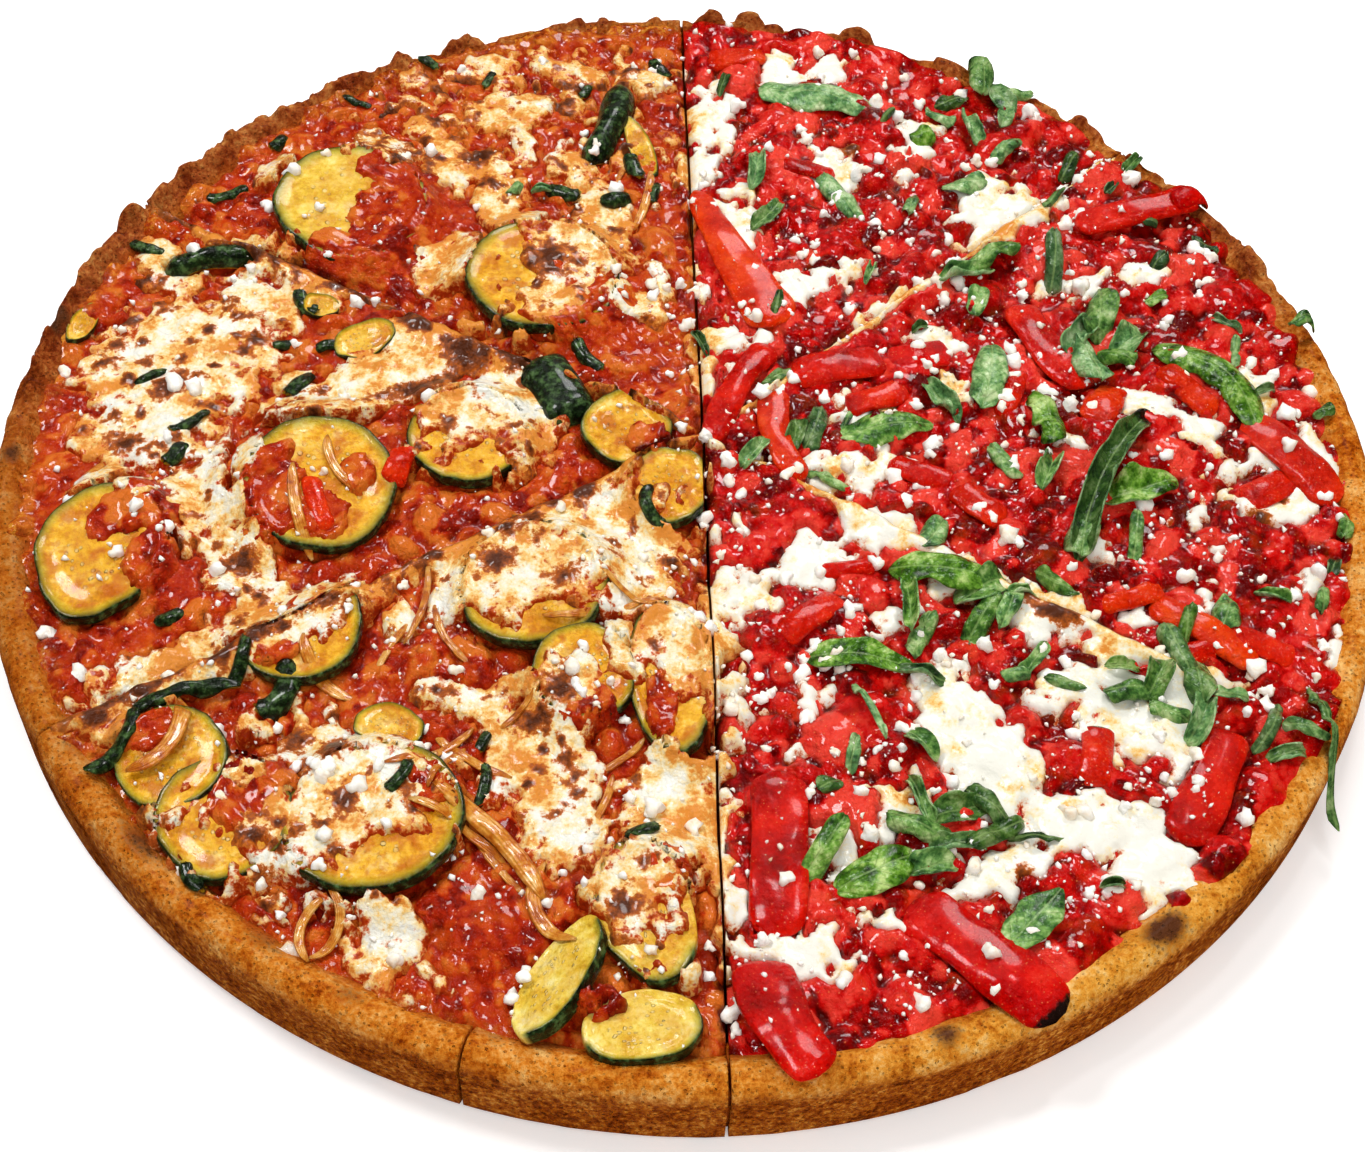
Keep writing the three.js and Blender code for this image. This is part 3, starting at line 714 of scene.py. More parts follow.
# %% Browned blotches: x, y, half length, half width, turn
SINGED = [
    (-70, 22, 20, 4, 22), (-60, 32, 8, 6, 30), (-137, 20, 8, 5, 60), (-145, 0, 8, 4, 0), (-150, 58, 6, 4, 0),
    (-111, -38, 6, 6, 0), (-62, 6, 4, 4, 0), (-47, -39, 6, 5, 0), (-30, -44, 5, 4, 40), (-104, -60, 5, 4, 20),
    (-124, -72, 5, 3, 30), (-30, -76, 5, 7, 10), (-36, -84, 7, 4, 20), (-28, -94, 4, 4, 0), (-14, -134, 5, 6, 20),
    (-82, -93, 5, 5, 0), (-78, -108, 5, 6, 0), (-98, -118, 6, 4, 20), (-92, -90, 6, 5, 60), (-100, -96, 5, 4, 0),
    (-38, 66, 9, 9, 0), (-60, 112, 9, 4, 30), (-90, 128, 12, 4, 35), (-70, 142, 10, 4, 20), (-30, 142, 10, 4, 0),
    (-110, 100, 9, 4, 60), (152, -9, 4, 4, 0), (146, -17, 4, 5, 60), (90, -50, 6, 3, -20), (84, -44, 4, 3, 0),
    (47, 118, 5, 3, 0), (76, -122, 3, 4, 0),
]
browning = np.where(MAP_COURGETTE, 0.50 * cloud(8, 31) + 0.40 * cloud(3, 32) - 0.22, -1.0)
draw = np.random.default_rng(77)
for _ in range(420):
    x, y = draw.uniform(-172, 10), draw.uniform(-172, 172)
    a = draw.uniform(1.4, 4.0)
    if read(MAP_COURGETTE * 1.0, x, y) > 0.9:
        SINGED.append((x, y, a, a * draw.uniform(0.6, 1.0), draw.uniform(0, 180)))
for x, y, a, b, angle in SINGED:
    rows, columns, dx, dy = window(x, y, 1.6 * max(a, b))
    part = browning[rows, columns]
    np.maximum(part, (1.0 if a > 4 else 0.92) - 0.95 * oval(dx, dy, a, b, angle), out=part)
browning = browning + 0.28 * cloud(2.6, 33) + 0.16 * cloud(1.2, 34)
browning = np.clip(soften(browning, 0.6), -0.5, 1)
oiliness = np.select([MAP_SLICE == 1, MAP_SLICE == 2, MAP_SLICE == 3], [0.62, 0.56, 0.50], 0.0)
oil = oiliness + 0.45 * cloud(9, 35) + 0.3 * cloud(3.5, 36)
rolling = 0.6 * cloud(26, 37) + 0.45 * cloud(10, 38)
wander = cloud(8, 46)
cheese_cover = cheese_cover - np.select([MAP_SLICE == 0, MAP_COURGETTE], [0.20, 0.06], 0.15)
well_done = smooth_step(MAP_Y, 20, 110) * MAP_COURGETTE
cheese_cover, oil = cheese_cover - 0.16 * well_done, oil + 0.10 * well_done
browning = browning + 0.16 * well_done
curd = 0.30 * curds + 0.35 * cloud(4, 39)
print(f"browned share of the courgette half: {(browning > 0.3)[MAP_COURGETTE & (MAP_R < 168)].mean():.0%}")

# %% [markdown]
# ## The surface of a slice
# `surface` gives the height of the sauce and of the cheese at points on one slice, with the marks that their finishes
# read. Beside some cuts the knife has dragged the cheese, so that the nearer slice's edge stands up and shows a
# rounded golden lip, while the far one is pressed down.

# %% Heights of sauce and cheese
# For each slice: how far its edges at its first and its second cut are lifted, and how much cheese is dragged there.
EDGES = {
    0: ((-1.2, 0.1), (-0.7, 0.4)),
    1: ((-0.7, 0.3), (-1.9, -0.6)),
    2: ((2.8, 1.2), (-1.7, -0.4)),
    3: ((3.2, 1.4), (-1.8, 0.5)),
    4: ((-1.6, 0.4), (2.6, 1.2)),
    5: ((-1.4, 0.0), (1.8, 1.3)),
}


def from_cut(x, y, cut):
    """Distance from a cut's line, in plan."""
    c, s = unit(cut)
    return np.abs((x - HUB[0]) * s - (y - HUB[1]) * c)


def from_wall(x, y):
    return RADIUS - np.hypot(x, y)


# Where the filling has run up over the rim: angle, half width in degrees, height.
SPILLS = [
    (317, 4, 4.6), (333, 5, 4.4), (297, 3, 2.0), (34, 5, 3.2), (12, 4, 2.4),
    (75, 9, 1.4), (115, 42, 2.8), (168, 14, 2.8), (192, 9, 1.8), (214, 8, 1.4),
]


def spill(x, y):
    """How much higher the filling's edge stands where it has run up over the rim."""
    a = np.degrees(np.arctan2(y, x)) % 360
    total = 0
    for middle, width, rise in SPILLS:
        total = total + rise * np.exp(-(((a - middle) / width) ** 2))
    return total


def surface(i, x, y):
    first, second = CUTS[i], CUTS[(i + 1) % len(CUTS)]
    lift, dragged, painted_crease_shade, near, seared = 0, 0, 0, 0, 0
    for cut, (rise, cheese_there) in zip((first, second), EDGES[i]):
        away = from_cut(x, y, cut)
        lift = lift + rise * np.exp(-((away / 6.5) ** 2))
        lift = lift - (1.5 + 1.2 * read(wander, x, y)) * np.exp(-((away / 1.4) ** 2))
        dragged = dragged + (cheese_there + 0.6 * read(wander, x, y)) * np.exp(-((away / 3.0) ** 2))
        seared = seared + 0.2 * np.exp(-((away / 1.3) ** 2))
        # painted shade: beside a pressed-down cut edge the relief mark is lowered, so that the sauce is painted
        # darker there
        painted_crease_shade = painted_crease_shade + max(-rise, 0) * np.exp(-((away / 2.2) ** 2))
        near = near + np.exp(-((away / 6.0) ** 2))
    cover = read(cheese_cover, x, y) + dragged
    melted = smooth_step(cover, -0.04, 0.36)
    wall = from_wall(x, y)
    shore = smooth_step(wall, 3.0, 14.0)
    base = BED - 0.6 + read(rolling, x, y) + lift
    over = smooth_step(read(sauce_over, x, y), 0.0, 0.3)
    base = base - 1.3 * smooth_step(read(BESIDE_TOPPING, x, y), 0.1, 0.5) * (1 - np.maximum(over, melted))
    base = base - 2.2 * (1 - shore) + spill(x, y) * np.exp(-(((wall - 5) / 6) ** 2))
    base = base + (0.4 + 1.3 * read(wander, x, y)) * np.exp(-(((wall - 8) / 4) ** 2))
    relief = read(lumps, x, y)
    sauce = base + relief * (1 - 0.85 * melted) * (0.6 + 0.4 * shore) - 1.8 * melted
    bumpy = read(curd, x, y) * (0.5 + 0.5 * (0.5 + read(browning, x, y)))
    bumpy = bumpy * (1.0 if i in COURGETTE else 0.4)
    body = 0.7 + 0.7 * np.clip(cover, 0, 1) + 0.30 * relief + bumpy
    cheese = base - 2.0 + melted * (2.0 + body)
    # round the large toppings the bed falls away, and over them the cheese drapes
    topping = read(UNDER_TOPPING, x, y)
    beside = read(BESIDE_TOPPING, x, y)
    curled = 1.2 * (1 - smooth_step(beside, 0.6, 0.95))
    roof = read(ROOF, x, y)
    inside = topping > 0.5
    level_with = np.where(inside & (roof > 15), roof - 1.6 + over * (2.7 + curled + 0.6 * relief), 40)
    covered = inside & (over > 0.02) & (roof > 15)
    sauce = np.where(covered, level_with, np.minimum(sauce, np.where(inside, level_with, 40)))
    drape = np.where(roof > 15, roof - 0.9 + melted * (2.4 + curled + 0.3 * relief + 0.8 * bumpy), cheese)
    hidden = np.where(inside & (roof > 15), roof - 1.8, 40)
    cheese = np.where(inside, np.where(melted > 0.02, drape, np.minimum(cheese, hidden)), cheese)
    # where they are well covered, sauce and cheese run on down a slope beside them
    skirt = read(SKIRT, x, y) + 1.0 * smooth_step(beside, 0.0, 0.4)
    poured = skirt - 1.6 + over * (2.7 + 0.6 * relief)
    sauce = np.where(inside, sauce, np.maximum(sauce, sauce + (poured - sauce) * smooth_step(over, 0.2, 0.9)))
    poured = skirt - 0.9 + melted * (2.2 + 0.3 * relief + 0.8 * bumpy)
    cheese = np.where(inside, cheese, np.maximum(cheese, cheese + (poured - cheese) * smooth_step(melted, 0.3, 0.9)))
    marks = {
        "cover": np.clip(cover, -0.5, 1.3),
        "brown": read(browning, x, y) + 0.16 * lift + (seared if i in COURGETTE else 0.6 * seared),
        "oil": read(oil, x, y) + 0.35 * dragged + 0.3 * near,
        "tone": read(lump_tone, x, y),
        # the relief mark, lowered beside pressed-down cut edges, sets where the sauce finish paints shade
        "relief": relief - read(RELIEF_MEAN, x, y) - 0.9 * painted_crease_shade,
        "courgette": np.full(len(x), float(i in COURGETTE)),
        "edge": 1 - smooth_step(wall, 6, 14),
    }
    return sauce, cheese, marks


RELIEF_MEAN = soften(lumps, 5)


# %% [markdown]
# Each slice is meshed as a fan of rings round its tip, with fewer points to a ring near the tip so that all its faces
# are about the same size. Where the count doubles from one ring to the next, the faces there have five corners.


# %% A fan of points for one slice
def fan(i, spacing, inset):
    first, second, tip = span_of(i)
    half = math.radians(second - first) / 2
    outer = RADIUS - inset
    rings = round(outer / spacing)
    columns = 16 * math.ceil(2 * half * outer / spacing / 16)
    points, starts, counts = [tip[None]], [0], [0]
    for k in range(1, rings + 1):
        share = k / rings
        n = columns // next((part for limit, part in ((0.125, 8), (0.25, 4), (0.5, 2)) if share <= limit), 1)
        angles = np.radians(np.linspace(first, second, n + 1))
        way = np.stack([np.cos(angles), np.sin(angles)], 1)
        along = way @ tip
        reach = -along + np.sqrt(along**2 - tip @ tip + outer**2)
        starts.append(starts[-1] + (1 if k == 1 else counts[-1] + 1))
        counts.append(n)
        points.append(tip + way * (reach * share)[:, None])
    quads, fives, threes = [], [], []
    one = np.arange(counts[1]) + starts[1]
    threes.append(np.stack([np.zeros_like(one), one, one + 1], 1))
    for k in range(1, rings):
        j = np.arange(counts[k])
        a, b = starts[k] + j, starts[k + 1]
        if counts[k] == counts[k + 1]:
            quads.append(np.stack([a, b + j, b + j + 1, a + 1], 1))
        else:
            fives.append(np.stack([a, b + 2 * j, b + 2 * j + 1, b + 2 * j + 2, a + 1], 1))
    left = [starts[k] for k in range(1, rings)]
    right = [starts[k] + counts[k] for k in range(rings - 1, 0, -1)]
    arc = list(starts[rings] + np.arange(counts[rings] + 1))
    border = np.array([0] + left + arc + right)
    on_arc = np.array([False] + [False] * len(left) + [True] * len(arc) + [False] * len(right))
    return np.concatenate(points), [np.concatenate(g) for g in (threes, quads, fives) if g], border, on_arc


def slab(name, plan, faces, border, on_arc, top, bottom, tuck, material, marks):
    """A closed layer: its uneven top, walls down from its border, and a flat underside."""
    low = plan[border].copy()
    low[on_arc] *= (1 - tuck / np.hypot(*low[on_arc].T))[:, None]
    n, m = len(plan), len(border)
    points = np.vstack([np.column_stack([plan, top]), np.column_stack([low, np.full(m, bottom)])])
    ring = np.arange(m)
    after = (ring + 1) % m
    walls = np.stack([border[ring], border[after], n + after, n + ring], 1)
    under = (n + ring[::-1])[None]
    marks = {key: np.concatenate([values, values[border]]) for key, values in marks.items()}
    return piece(name, points, faces + [walls, under], material, marks)


# %% [markdown]
# ## Finishes of the filling
# The sauce is red where the tomato stands up, and shade is painted into the creases, between the pulp grains and
# beside pressed-down cut edges. Tiny pale dots are painted on as highlights. On the courgette half it has cooked
# down to a deeper orange red with more oil. Thin oil makes it wet, which a clear coat shows best.


# %% Sauce and cheese finishes
def sauce_colours(tree):
    tone, height, half = mark(tree, "tone"), mark(tree, "relief"), mark(tree, "courgette")
    lump = plus(tree, times(tree, tone, 0.62), times(tree, noise(tree, 3.0, 4), 0.55))
    coarse_pulp, fine_pulp = (cells(tree, size) for size in (4.4, 2.2))
    pulp = mix(tree, band(tree, noise(tree, 8, 2, seed=0.4), 0.4, 0.6), fine_pulp, coarse_pulp)
    # painted shade: the tomato is darker between its pulp grains, where the bump below sinks them
    lump = minus(tree, lump, times(tree, band(tree, pulp, 0.3, 0.75), 0.14))
    fresh = ramp(tree, lump, (0.22, "#5c0000"), (0.38, "#9c0100"), (0.54, "#ce0c08"), (0.78, "#e84030"))
    cooked = ramp(tree, lump, (0.22, "#780e02"), (0.38, "#a82206"), (0.54, "#c03c0c"), (0.74, "#d46c22"))
    colour = mix(tree, half, fresh, cooked)
    # painted shade: the sauce is darkened where the relief mark is low, in the creases between lumps and beside
    # pressed-down cut edges
    painted_crease_shade = band(tree, height, -0.2, -1.6)
    colour = mix(tree, times(tree, painted_crease_shade, 0.92), colour, "#3e0301")
    juicy = band(tree, noise(tree, 7, 3, seed=0.3), 0.54, 0.72)
    juicy = times(tree, juicy, plus(tree, times(tree, half, 0.3), 0.2))
    colour = mix(tree, juicy, colour, "#cf5410")
    # painted highlights: tiny pale dots stand in for glints on the wet sauce
    painted_glint_specks = band(tree, cells(tree, 1.7), 0.16, 0.08)
    colour = mix(tree, times(tree, painted_glint_specks, 0.45), colour, "#ee8f50")
    baked = times(tree, mark(tree, "edge"), half)
    oily_noise = noise(tree, 2.6, 4, 0.65, seed=1.7)
    oily_edge = ramp(tree, oily_noise, (0.42, "#7c2c0a"), (0.52, "#b4500e"), (0.64, "#dc9630"))
    colour = mix(tree, times(tree, baked, 0.85), colour, oily_edge)
    rough = ramp(tree, noise(tree, 5, 2, seed=0.9), (0.3, "#5a5a5a"), (0.7, "#8c8c8c"))
    fine = noise(tree, 1.1, 3, 0.6)
    return colour, rough, bumps(tree, (noise(tree, 2.8, 3), 0.9), (pulp, -0.5), (fine, 0.8))


def cheese_colours(tree):
    brown, oil_mark, half = mark(tree, "brown"), mark(tree, "oil"), mark(tree, "courgette")
    speckle = noise(tree, 1.3, 4, 0.65)
    oil_here = freckled(tree, oil_mark, speckle, 1.6)
    white = ramp(tree, oil_here, (0.05, "#eeece0"), (0.40, "#f2e2b8"), (0.66, "#f0c676"), (0.92, "#dc8a36"))
    islands = minus(tree, noise(tree, 3.4, 3, 0.6, seed=0.6), 0.5)
    thick = freckled(tree, mark(tree, "cover"), speckle, 0.9)
    thick = plus(tree, thick, times(tree, islands, times(tree, half, 1.3)))
    thick = minus(tree, thick, times(tree, half, 0.12))
    film = ramp(tree, thick, (0.00, "#a02c08"), (0.14, "#c4541a"), (0.30, "#e8a458"))
    colour = mix(tree, band(tree, thick, 0.10, 0.36), film, white)
    ragged = freckled(tree, brown, speckle, 1.25)
    toasted = ramp(tree, ragged, (0.20, "#e09038"), (0.36, "#b65a1a"), (0.56, "#88431b"), (0.86, "#522712"))
    colour = mix(tree, band(tree, ragged, 0.10, 0.38), colour, toasted)
    colour = mix(tree, times(tree, times(tree, mark(tree, "edge"), half), 0.5), colour, "#b9692a")
    rough = ramp(tree, ragged, (0.1, "#626262"), (0.6, "#a0a0a0"))
    coarse = times(tree, noise(tree, 2.4, 3), plus(tree, times(tree, half, 0.7), 0.3))
    dimpled = plus(tree, times(tree, half, 0.7), 0.3)
    dimples = times(tree, cells(tree, 1.9), dimpled)
    grainy = times(tree, speckle, dimpled)
    return colour, rough, bumps(tree, (coarse, 0.8), (dimples, -0.3), (grainy, 0.4))


sauce_finish = finish_of("wet_tomato", sauce_colours, specular=0.12, coat=0.38, coat_rough=0.07)
cheese_finish = finish_of("melted_cheese", cheese_colours, coat=0.3, coat_rough=0.1, specular=0.15)

# %% Lay sauce and cheese on every slice
LAYER_STEP = 0.95
for i in SLICES:
    plan, faces, border, on_arc = fan(i, LAYER_STEP, 4.5)
    sauce_top, cheese_top, marks = surface(i, plan[:, 0], plan[:, 1])
    low = DOUGH_TOP + 0.4
    number = str(i + 1)
    made = slab("sauce_layer_" + number, plan, faces, border, on_arc, sauce_top, low, 9, sauce_finish, marks)
    hand_over(made, "sauce", "sauce_" + number)
    made = slab("cheese_layer_" + number, plan, faces, border, on_arc, cheese_top, low + 0.2, 9, cheese_finish, marks)
    hand_over(made, "cheese", "cheese_" + number)
    print("slice", number, len(plan), "points to a layer")

# %% [markdown]
# ## Crust
# The crust was pressed into an oiled pan, so its wall is nearly upright, porous and evenly fried. Its rim is golden
# at the front, and at the back the cheese and dough at its edge have crisped into dark, knobbly crumbs. Shade is
# painted into the wall and rim on the left side, and into the pores and pits. One profile is swept round each
# slice, and noise moves its points in and out.

# %% The rim's profile: distance in from the wall, and height
PROFILE = np.array(
    [
        (3.5, 0.0), (1.2, 0.2), (0.25, 1.0), (0.0, 2.6), (0.0, 7.0), (0.0, 13.0), (0.3, 17.0), (1.1, 20.2),
        (2.6, 22.6), (4.6, 23.6), (6.6, 23.0), (8.6, 21.2), (10.6, 18.8), (12.6, 15.5), (14.5, 12.0),
    ]
)
RIM_STEP = 0.85


def even_profile(spacing):
    """The profile with points spacing apart, its corners eased."""
    lengths = np.concatenate([[0], np.cumsum(np.hypot(*np.diff(PROFILE, axis=0).T))])
    at = np.linspace(0, lengths[-1], round(lengths[-1] / spacing) + 1)
    even = np.column_stack([np.interp(at, lengths, PROFILE[:, k]) for k in (0, 1)])
    for _ in range(2):
        even[1:-1] = (even[:-2] + 2 * even[1:-1] + even[2:]) / 4
    return even


# Peaks of the crisped edge at the back: angle round the pizza, height, and half width in mm.
PEAKS = [
    (26, 3.0, 4), (36, 2.6, 4), (48, 3.6, 4.5), (53, 2.4, 3.5), (64, 2.0, 5), (73, 4.6, 3.6), (84, 4.6, 3.0),
    (88, 4.4, 3.0), (92, 1.8, 4), (100, 2.2, 5), (113, 4.4, 4.4), (119.5, 4.8, 2.4), (126, 1.6, 5), (138, 1.8, 6),
    (147, 1.6, 5), (153, 6.5, 3.6), (160, 1.8, 5), (171, 1.6, 6),
]
# Scorched places on the rim: angle, distance in from the wall, half length, half width, strength.
SCORCHED = [
    (308, 5, 7, 3.5, 1.2), (289, 6, 4.5, 3.5, 0.9), (245, 6, 6, 3, 0.6), (237, 8, 9, 4, 0.6), (224, 7, 10, 4, 0.8),
    (213, 7, 6, 3, 0.5), (182, 5, 4, 3, 0.9), (167, 5, 5, 3, 1.4), (256, 8, 4, 3, 0.5), (277, 9, 5, 2, 0.4),
]


def along_rim(angle, degrees):
    """Distance round the rim from an angle, in mm."""
    return (np.abs((angle - degrees + 180) % 360 - 180)) * math.pi / 180 * RADIUS


def crust_part(i, start, end):
    """The crust of slice i between two directions from the slice's tip."""
    tip = span_of(i)[2]
    profile = even_profile(RIM_STEP)
    n = math.ceil(math.radians(end - start) * RADIUS / RIM_STEP)
    angles = np.radians(np.linspace(start, end, n + 1))
    way = np.stack([np.cos(angles), np.sin(angles)], 1)
    reach = -(way @ tip) + np.sqrt((way @ tip) ** 2 - tip @ tip + RADIUS**2)
    inward = np.broadcast_to(profile[:, 0], (n + 1, len(profile)))
    height = np.broadcast_to(profile[:, 1], (n + 1, len(profile)))
    x = tip[0] + way[:, :1] * (reach[:, None] - inward)
    y = tip[1] + way[:, 1:] * (reach[:, None] - inward)
    round_pizza = np.degrees(np.arctan2(y, x)) % 360
    where = np.column_stack([x.ravel(), y.ravel(), height.ravel()])
    # the way out of the profile at each of its points
    slope = np.gradient(profile, axis=0)
    out = np.column_stack([slope[:, 1], -slope[:, 0]])
    out /= np.hypot(*out.T)[:, None]
    shape = (n + 1, len(profile))
    dents = 1.0 * grain(where, 13, 51).reshape(shape) + 0.7 * grain(where, 5, 52).reshape(shape)
    pores = grain(where, 1.7, 53, 2).reshape(shape)
    pores = 0.30 * np.where(pores > 0, 0.35 * pores, 1.1 * pores)
    back = smooth_step(np.sin(np.radians(round_pizza - 8)), -0.05, 0.35)
    crest = np.exp(-(((inward - 4.6) / 4.0) ** 2)) * (height > 14)
    knobs = grain(where, 3.8, 54).reshape(shape)
    crisp = back * crest * 2.6 * smooth_step(knobs, -0.15, 0.35)
    move = (dents + pores) * smooth_step(height, 0.3, 2.0)
    crumbly = back * smooth_step(height, 12, 19) * 1.8 * grain(where, 3.8, 57, 2).reshape(shape)
    move = move * (0.7 + 0.5 * back) + crumbly + (0.7 - 1.0 * back) * smooth_step(height, 0.3, 2.0)
    rise = crisp
    for degrees, top, width in PEAKS:
        away = along_rim(round_pizza, degrees) / width
        dome = np.clip(1 - (away / 1.6) ** 2, 0, 1) ** 0.6
        rise = rise + top * dome * np.exp(-(((inward - 2.8) / 2.4) ** 2)) * (height > 16)
    sunk = 0.38 * smooth_step(np.sin(np.radians(round_pizza + 12)), 0.40, 0.85)
    rise = rise - sunk * np.clip(height - 12, 0, None)
    rise = rise - 0.9 * crest * smooth_step(grain(where, 30, 55).reshape(shape), -0.1, 0.6)
    d = inward + move * -out[None, :, 0]
    z = height + move * out[None, :, 1] + rise
    d = np.clip(d, 0.0, None)
    points = np.stack(
        [tip[0] + way[:, :1] * (reach[:, None] - d), tip[1] + way[:, 1:] * (reach[:, None] - d), z], 2
    ).reshape(-1, 3)
    scorch = 0
    for degrees, depth, a, b, strength in SCORCHED:
        q = np.hypot(along_rim(round_pizza, degrees) / a, (inward - depth) / b)
        scorch = scorch + strength * np.exp(-(q**2)) * (height > 15)
    marks = {
        "back": back.ravel(),
        "top": (smooth_step(z, 17, 22)).ravel(),
        "scorch": (scorch + 0 * z).ravel(),
        "knob": (crisp + rise * 0.25).ravel(),
        "pore": (pores * 3).ravel(),
        "inner": smooth_step(inward, 6.5, 10).ravel(),
        # painted shade: marks the left side of the crust, which the finish darkens
        "painted_shade_side": np.exp(-(((round_pizza - 190) / 38) ** 2)).ravel(),
        "golden": np.exp(-(((round_pizza - 303) / 26) ** 2)).ravel(),
    }
    return tip, points, marks, n, len(profile)


def crust_faces(n, m, tip_low, tip_high):
    """Faces of the swept profile, its flat floor and top out to the slice's tip, and its two cut sides."""
    j, k = np.meshgrid(np.arange(n), np.arange(m - 1), indexing="ij")
    a = (j * m + k).ravel()
    skin = np.stack([a, a + m, a + m + 1, a + 1], 1)
    columns = np.arange(n) * m
    floor_faces = np.stack([np.full(n, tip_low), columns + m, columns], 1)
    top_faces = np.stack([np.full(n, tip_high), columns + m - 1, columns + 2 * m - 1], 1)
    one = np.concatenate([[tip_low], np.arange(m), [tip_high]])[None]
    other = np.concatenate([[tip_high], n * m + np.arange(m)[::-1], [tip_low]])[None]
    return [skin, floor_faces, top_faces, one, other]


def crust_colours(tree):
    back, top, scorch = mark(tree, "back"), mark(tree, "top"), mark(tree, "scorch")
    wide = noise(tree, 11, 4, 0.6)
    fine = noise(tree, 1.5, 4, 0.7)
    tone = plus(tree, times(tree, wide, 0.6), times(tree, fine, 0.5))
    crumbly = plus(tree, times(tree, wide, 0.35), times(tree, fine, 0.75))
    wall = ramp(tree, crumbly, (0.42, "#5c2000"), (0.51, "#8c3c04"), (0.60, "#b05c0a"), (0.72, "#e09a3e"))
    # painted shade: the wall and, below, the rim are darkened round the left side
    wall = mix(tree, times(tree, mark(tree, "painted_shade_side"), 0.5), wall, "#7c3200")
    rim = ramp(tree, tone, (0.39, "#7a2a00"), (0.47, "#b85808"), (0.56, "#dc8426"), (0.70, "#f4bc6c"))
    rim = mix(tree, times(tree, mark(tree, "painted_shade_side"), 0.55), rim, "#94480f")
    colour = mix(tree, top, wall, rim)
    pale = ramp(tree, tone, (0.39, "#a8540c"), (0.47, "#d48624"), (0.56, "#eaa640"), (0.70, "#f8d084"))
    colour = mix(tree, times(tree, times(tree, mark(tree, "golden"), top), 0.9), colour, pale)
    crusty = ramp(tree, tone, (0.38, "#4a1606"), (0.48, "#7c3010"), (0.58, "#a85826"), (0.74, "#d0924c"))
    colour = mix(tree, times(tree, back, sums(tree, "MAXIMUM", top, 0.35)), colour, crusty)
    ragged = freckled(tree, scorch, fine, 0.9)
    colour = mix(tree, band(tree, ragged, 0.25, 0.95), colour, "#5b321b")
    # painted shade: the crust is darkened in its pores and in the pits that the bump sinks
    hole = band(tree, mark(tree, "pore"), -0.25, -0.75)
    colour = mix(tree, times(tree, hole, 0.4), colour, "#6b370f")
    pits = band(tree, cells(tree, 1.25), 0.30, 0.12)
    colour = mix(tree, times(tree, pits, 0.18), colour, "#7a4212")
    stain = times(tree, mark(tree, "inner"), band(tree, noise(tree, 6, 3, seed=0.5), 0.42, 0.6))
    colour = mix(tree, times(tree, stain, 0.6), colour, "#b5521b")
    rough = ramp(tree, wide, (0.35, "#8a8a8a"), (0.7, "#c0c0c0"))
    swell, grit = noise(tree, 4.5, 3), noise(tree, 0.7, 2)
    return colour, rough, bumps(tree, (swell, 1.0), (pits, -0.6), (fine, 0.9), (grit, 0.3))


crust_finish = finish_of("baked_crust", crust_colours, specular=0.03, coat=0.03, coat_rough=0.25)
SLIT = 253.6  # a nick through the rim of the fourth slice
SLIT_HALF = 0.14
for i in SLICES:
    first, second, _ = span_of(i)
    spans = [(first, second)]
    if first < SLIT < second:
        spans = [(first, SLIT - SLIT_HALF), (SLIT + SLIT_HALF, second)]
    batch = Batch()
    for start, end in spans:
        tip, points, marks, n, m = crust_part(i, start, end)
        low, high = len(points), len(points) + 1
        ends = np.array([[*tip, 0.0], [*tip, DOUGH_TOP]])
        marks = {key: np.concatenate([values, [0, 0]]) for key, values in marks.items()}
        batch.take(np.vstack([points, ends]), crust_faces(n, m, low, high), **marks)
    hand_over(batch.made("crust_slice_" + str(i + 1), crust_finish), "crust", "crust_" + str(i + 1))
    print("crust", i + 1, batch.count, "points")

# %% [markdown]
# ## Courgette slices
# A courgette slice is a thick disc: dark green skin round its side, a paler ring under the skin, golden flesh, and a
# soft middle with seeds. Roasting makes it sag, so its middle is lower than its skin. The discs are made round the
# origin and then turned, leaned and moved to the middle of their CAD node.


# %% Courgette discs
def lean_matrix(turn_degrees, lean, towards):
    """Turned in plan, then leaned up towards an angle."""
    spin = Matrix.Rotation(math.radians(turn_degrees), 3, "Z")
    hinge = Vector((math.sin(math.radians(towards)), -math.cos(math.radians(towards)), 0))
    return np.array(Matrix.Rotation(math.radians(lean), 3, hinge) @ spin)


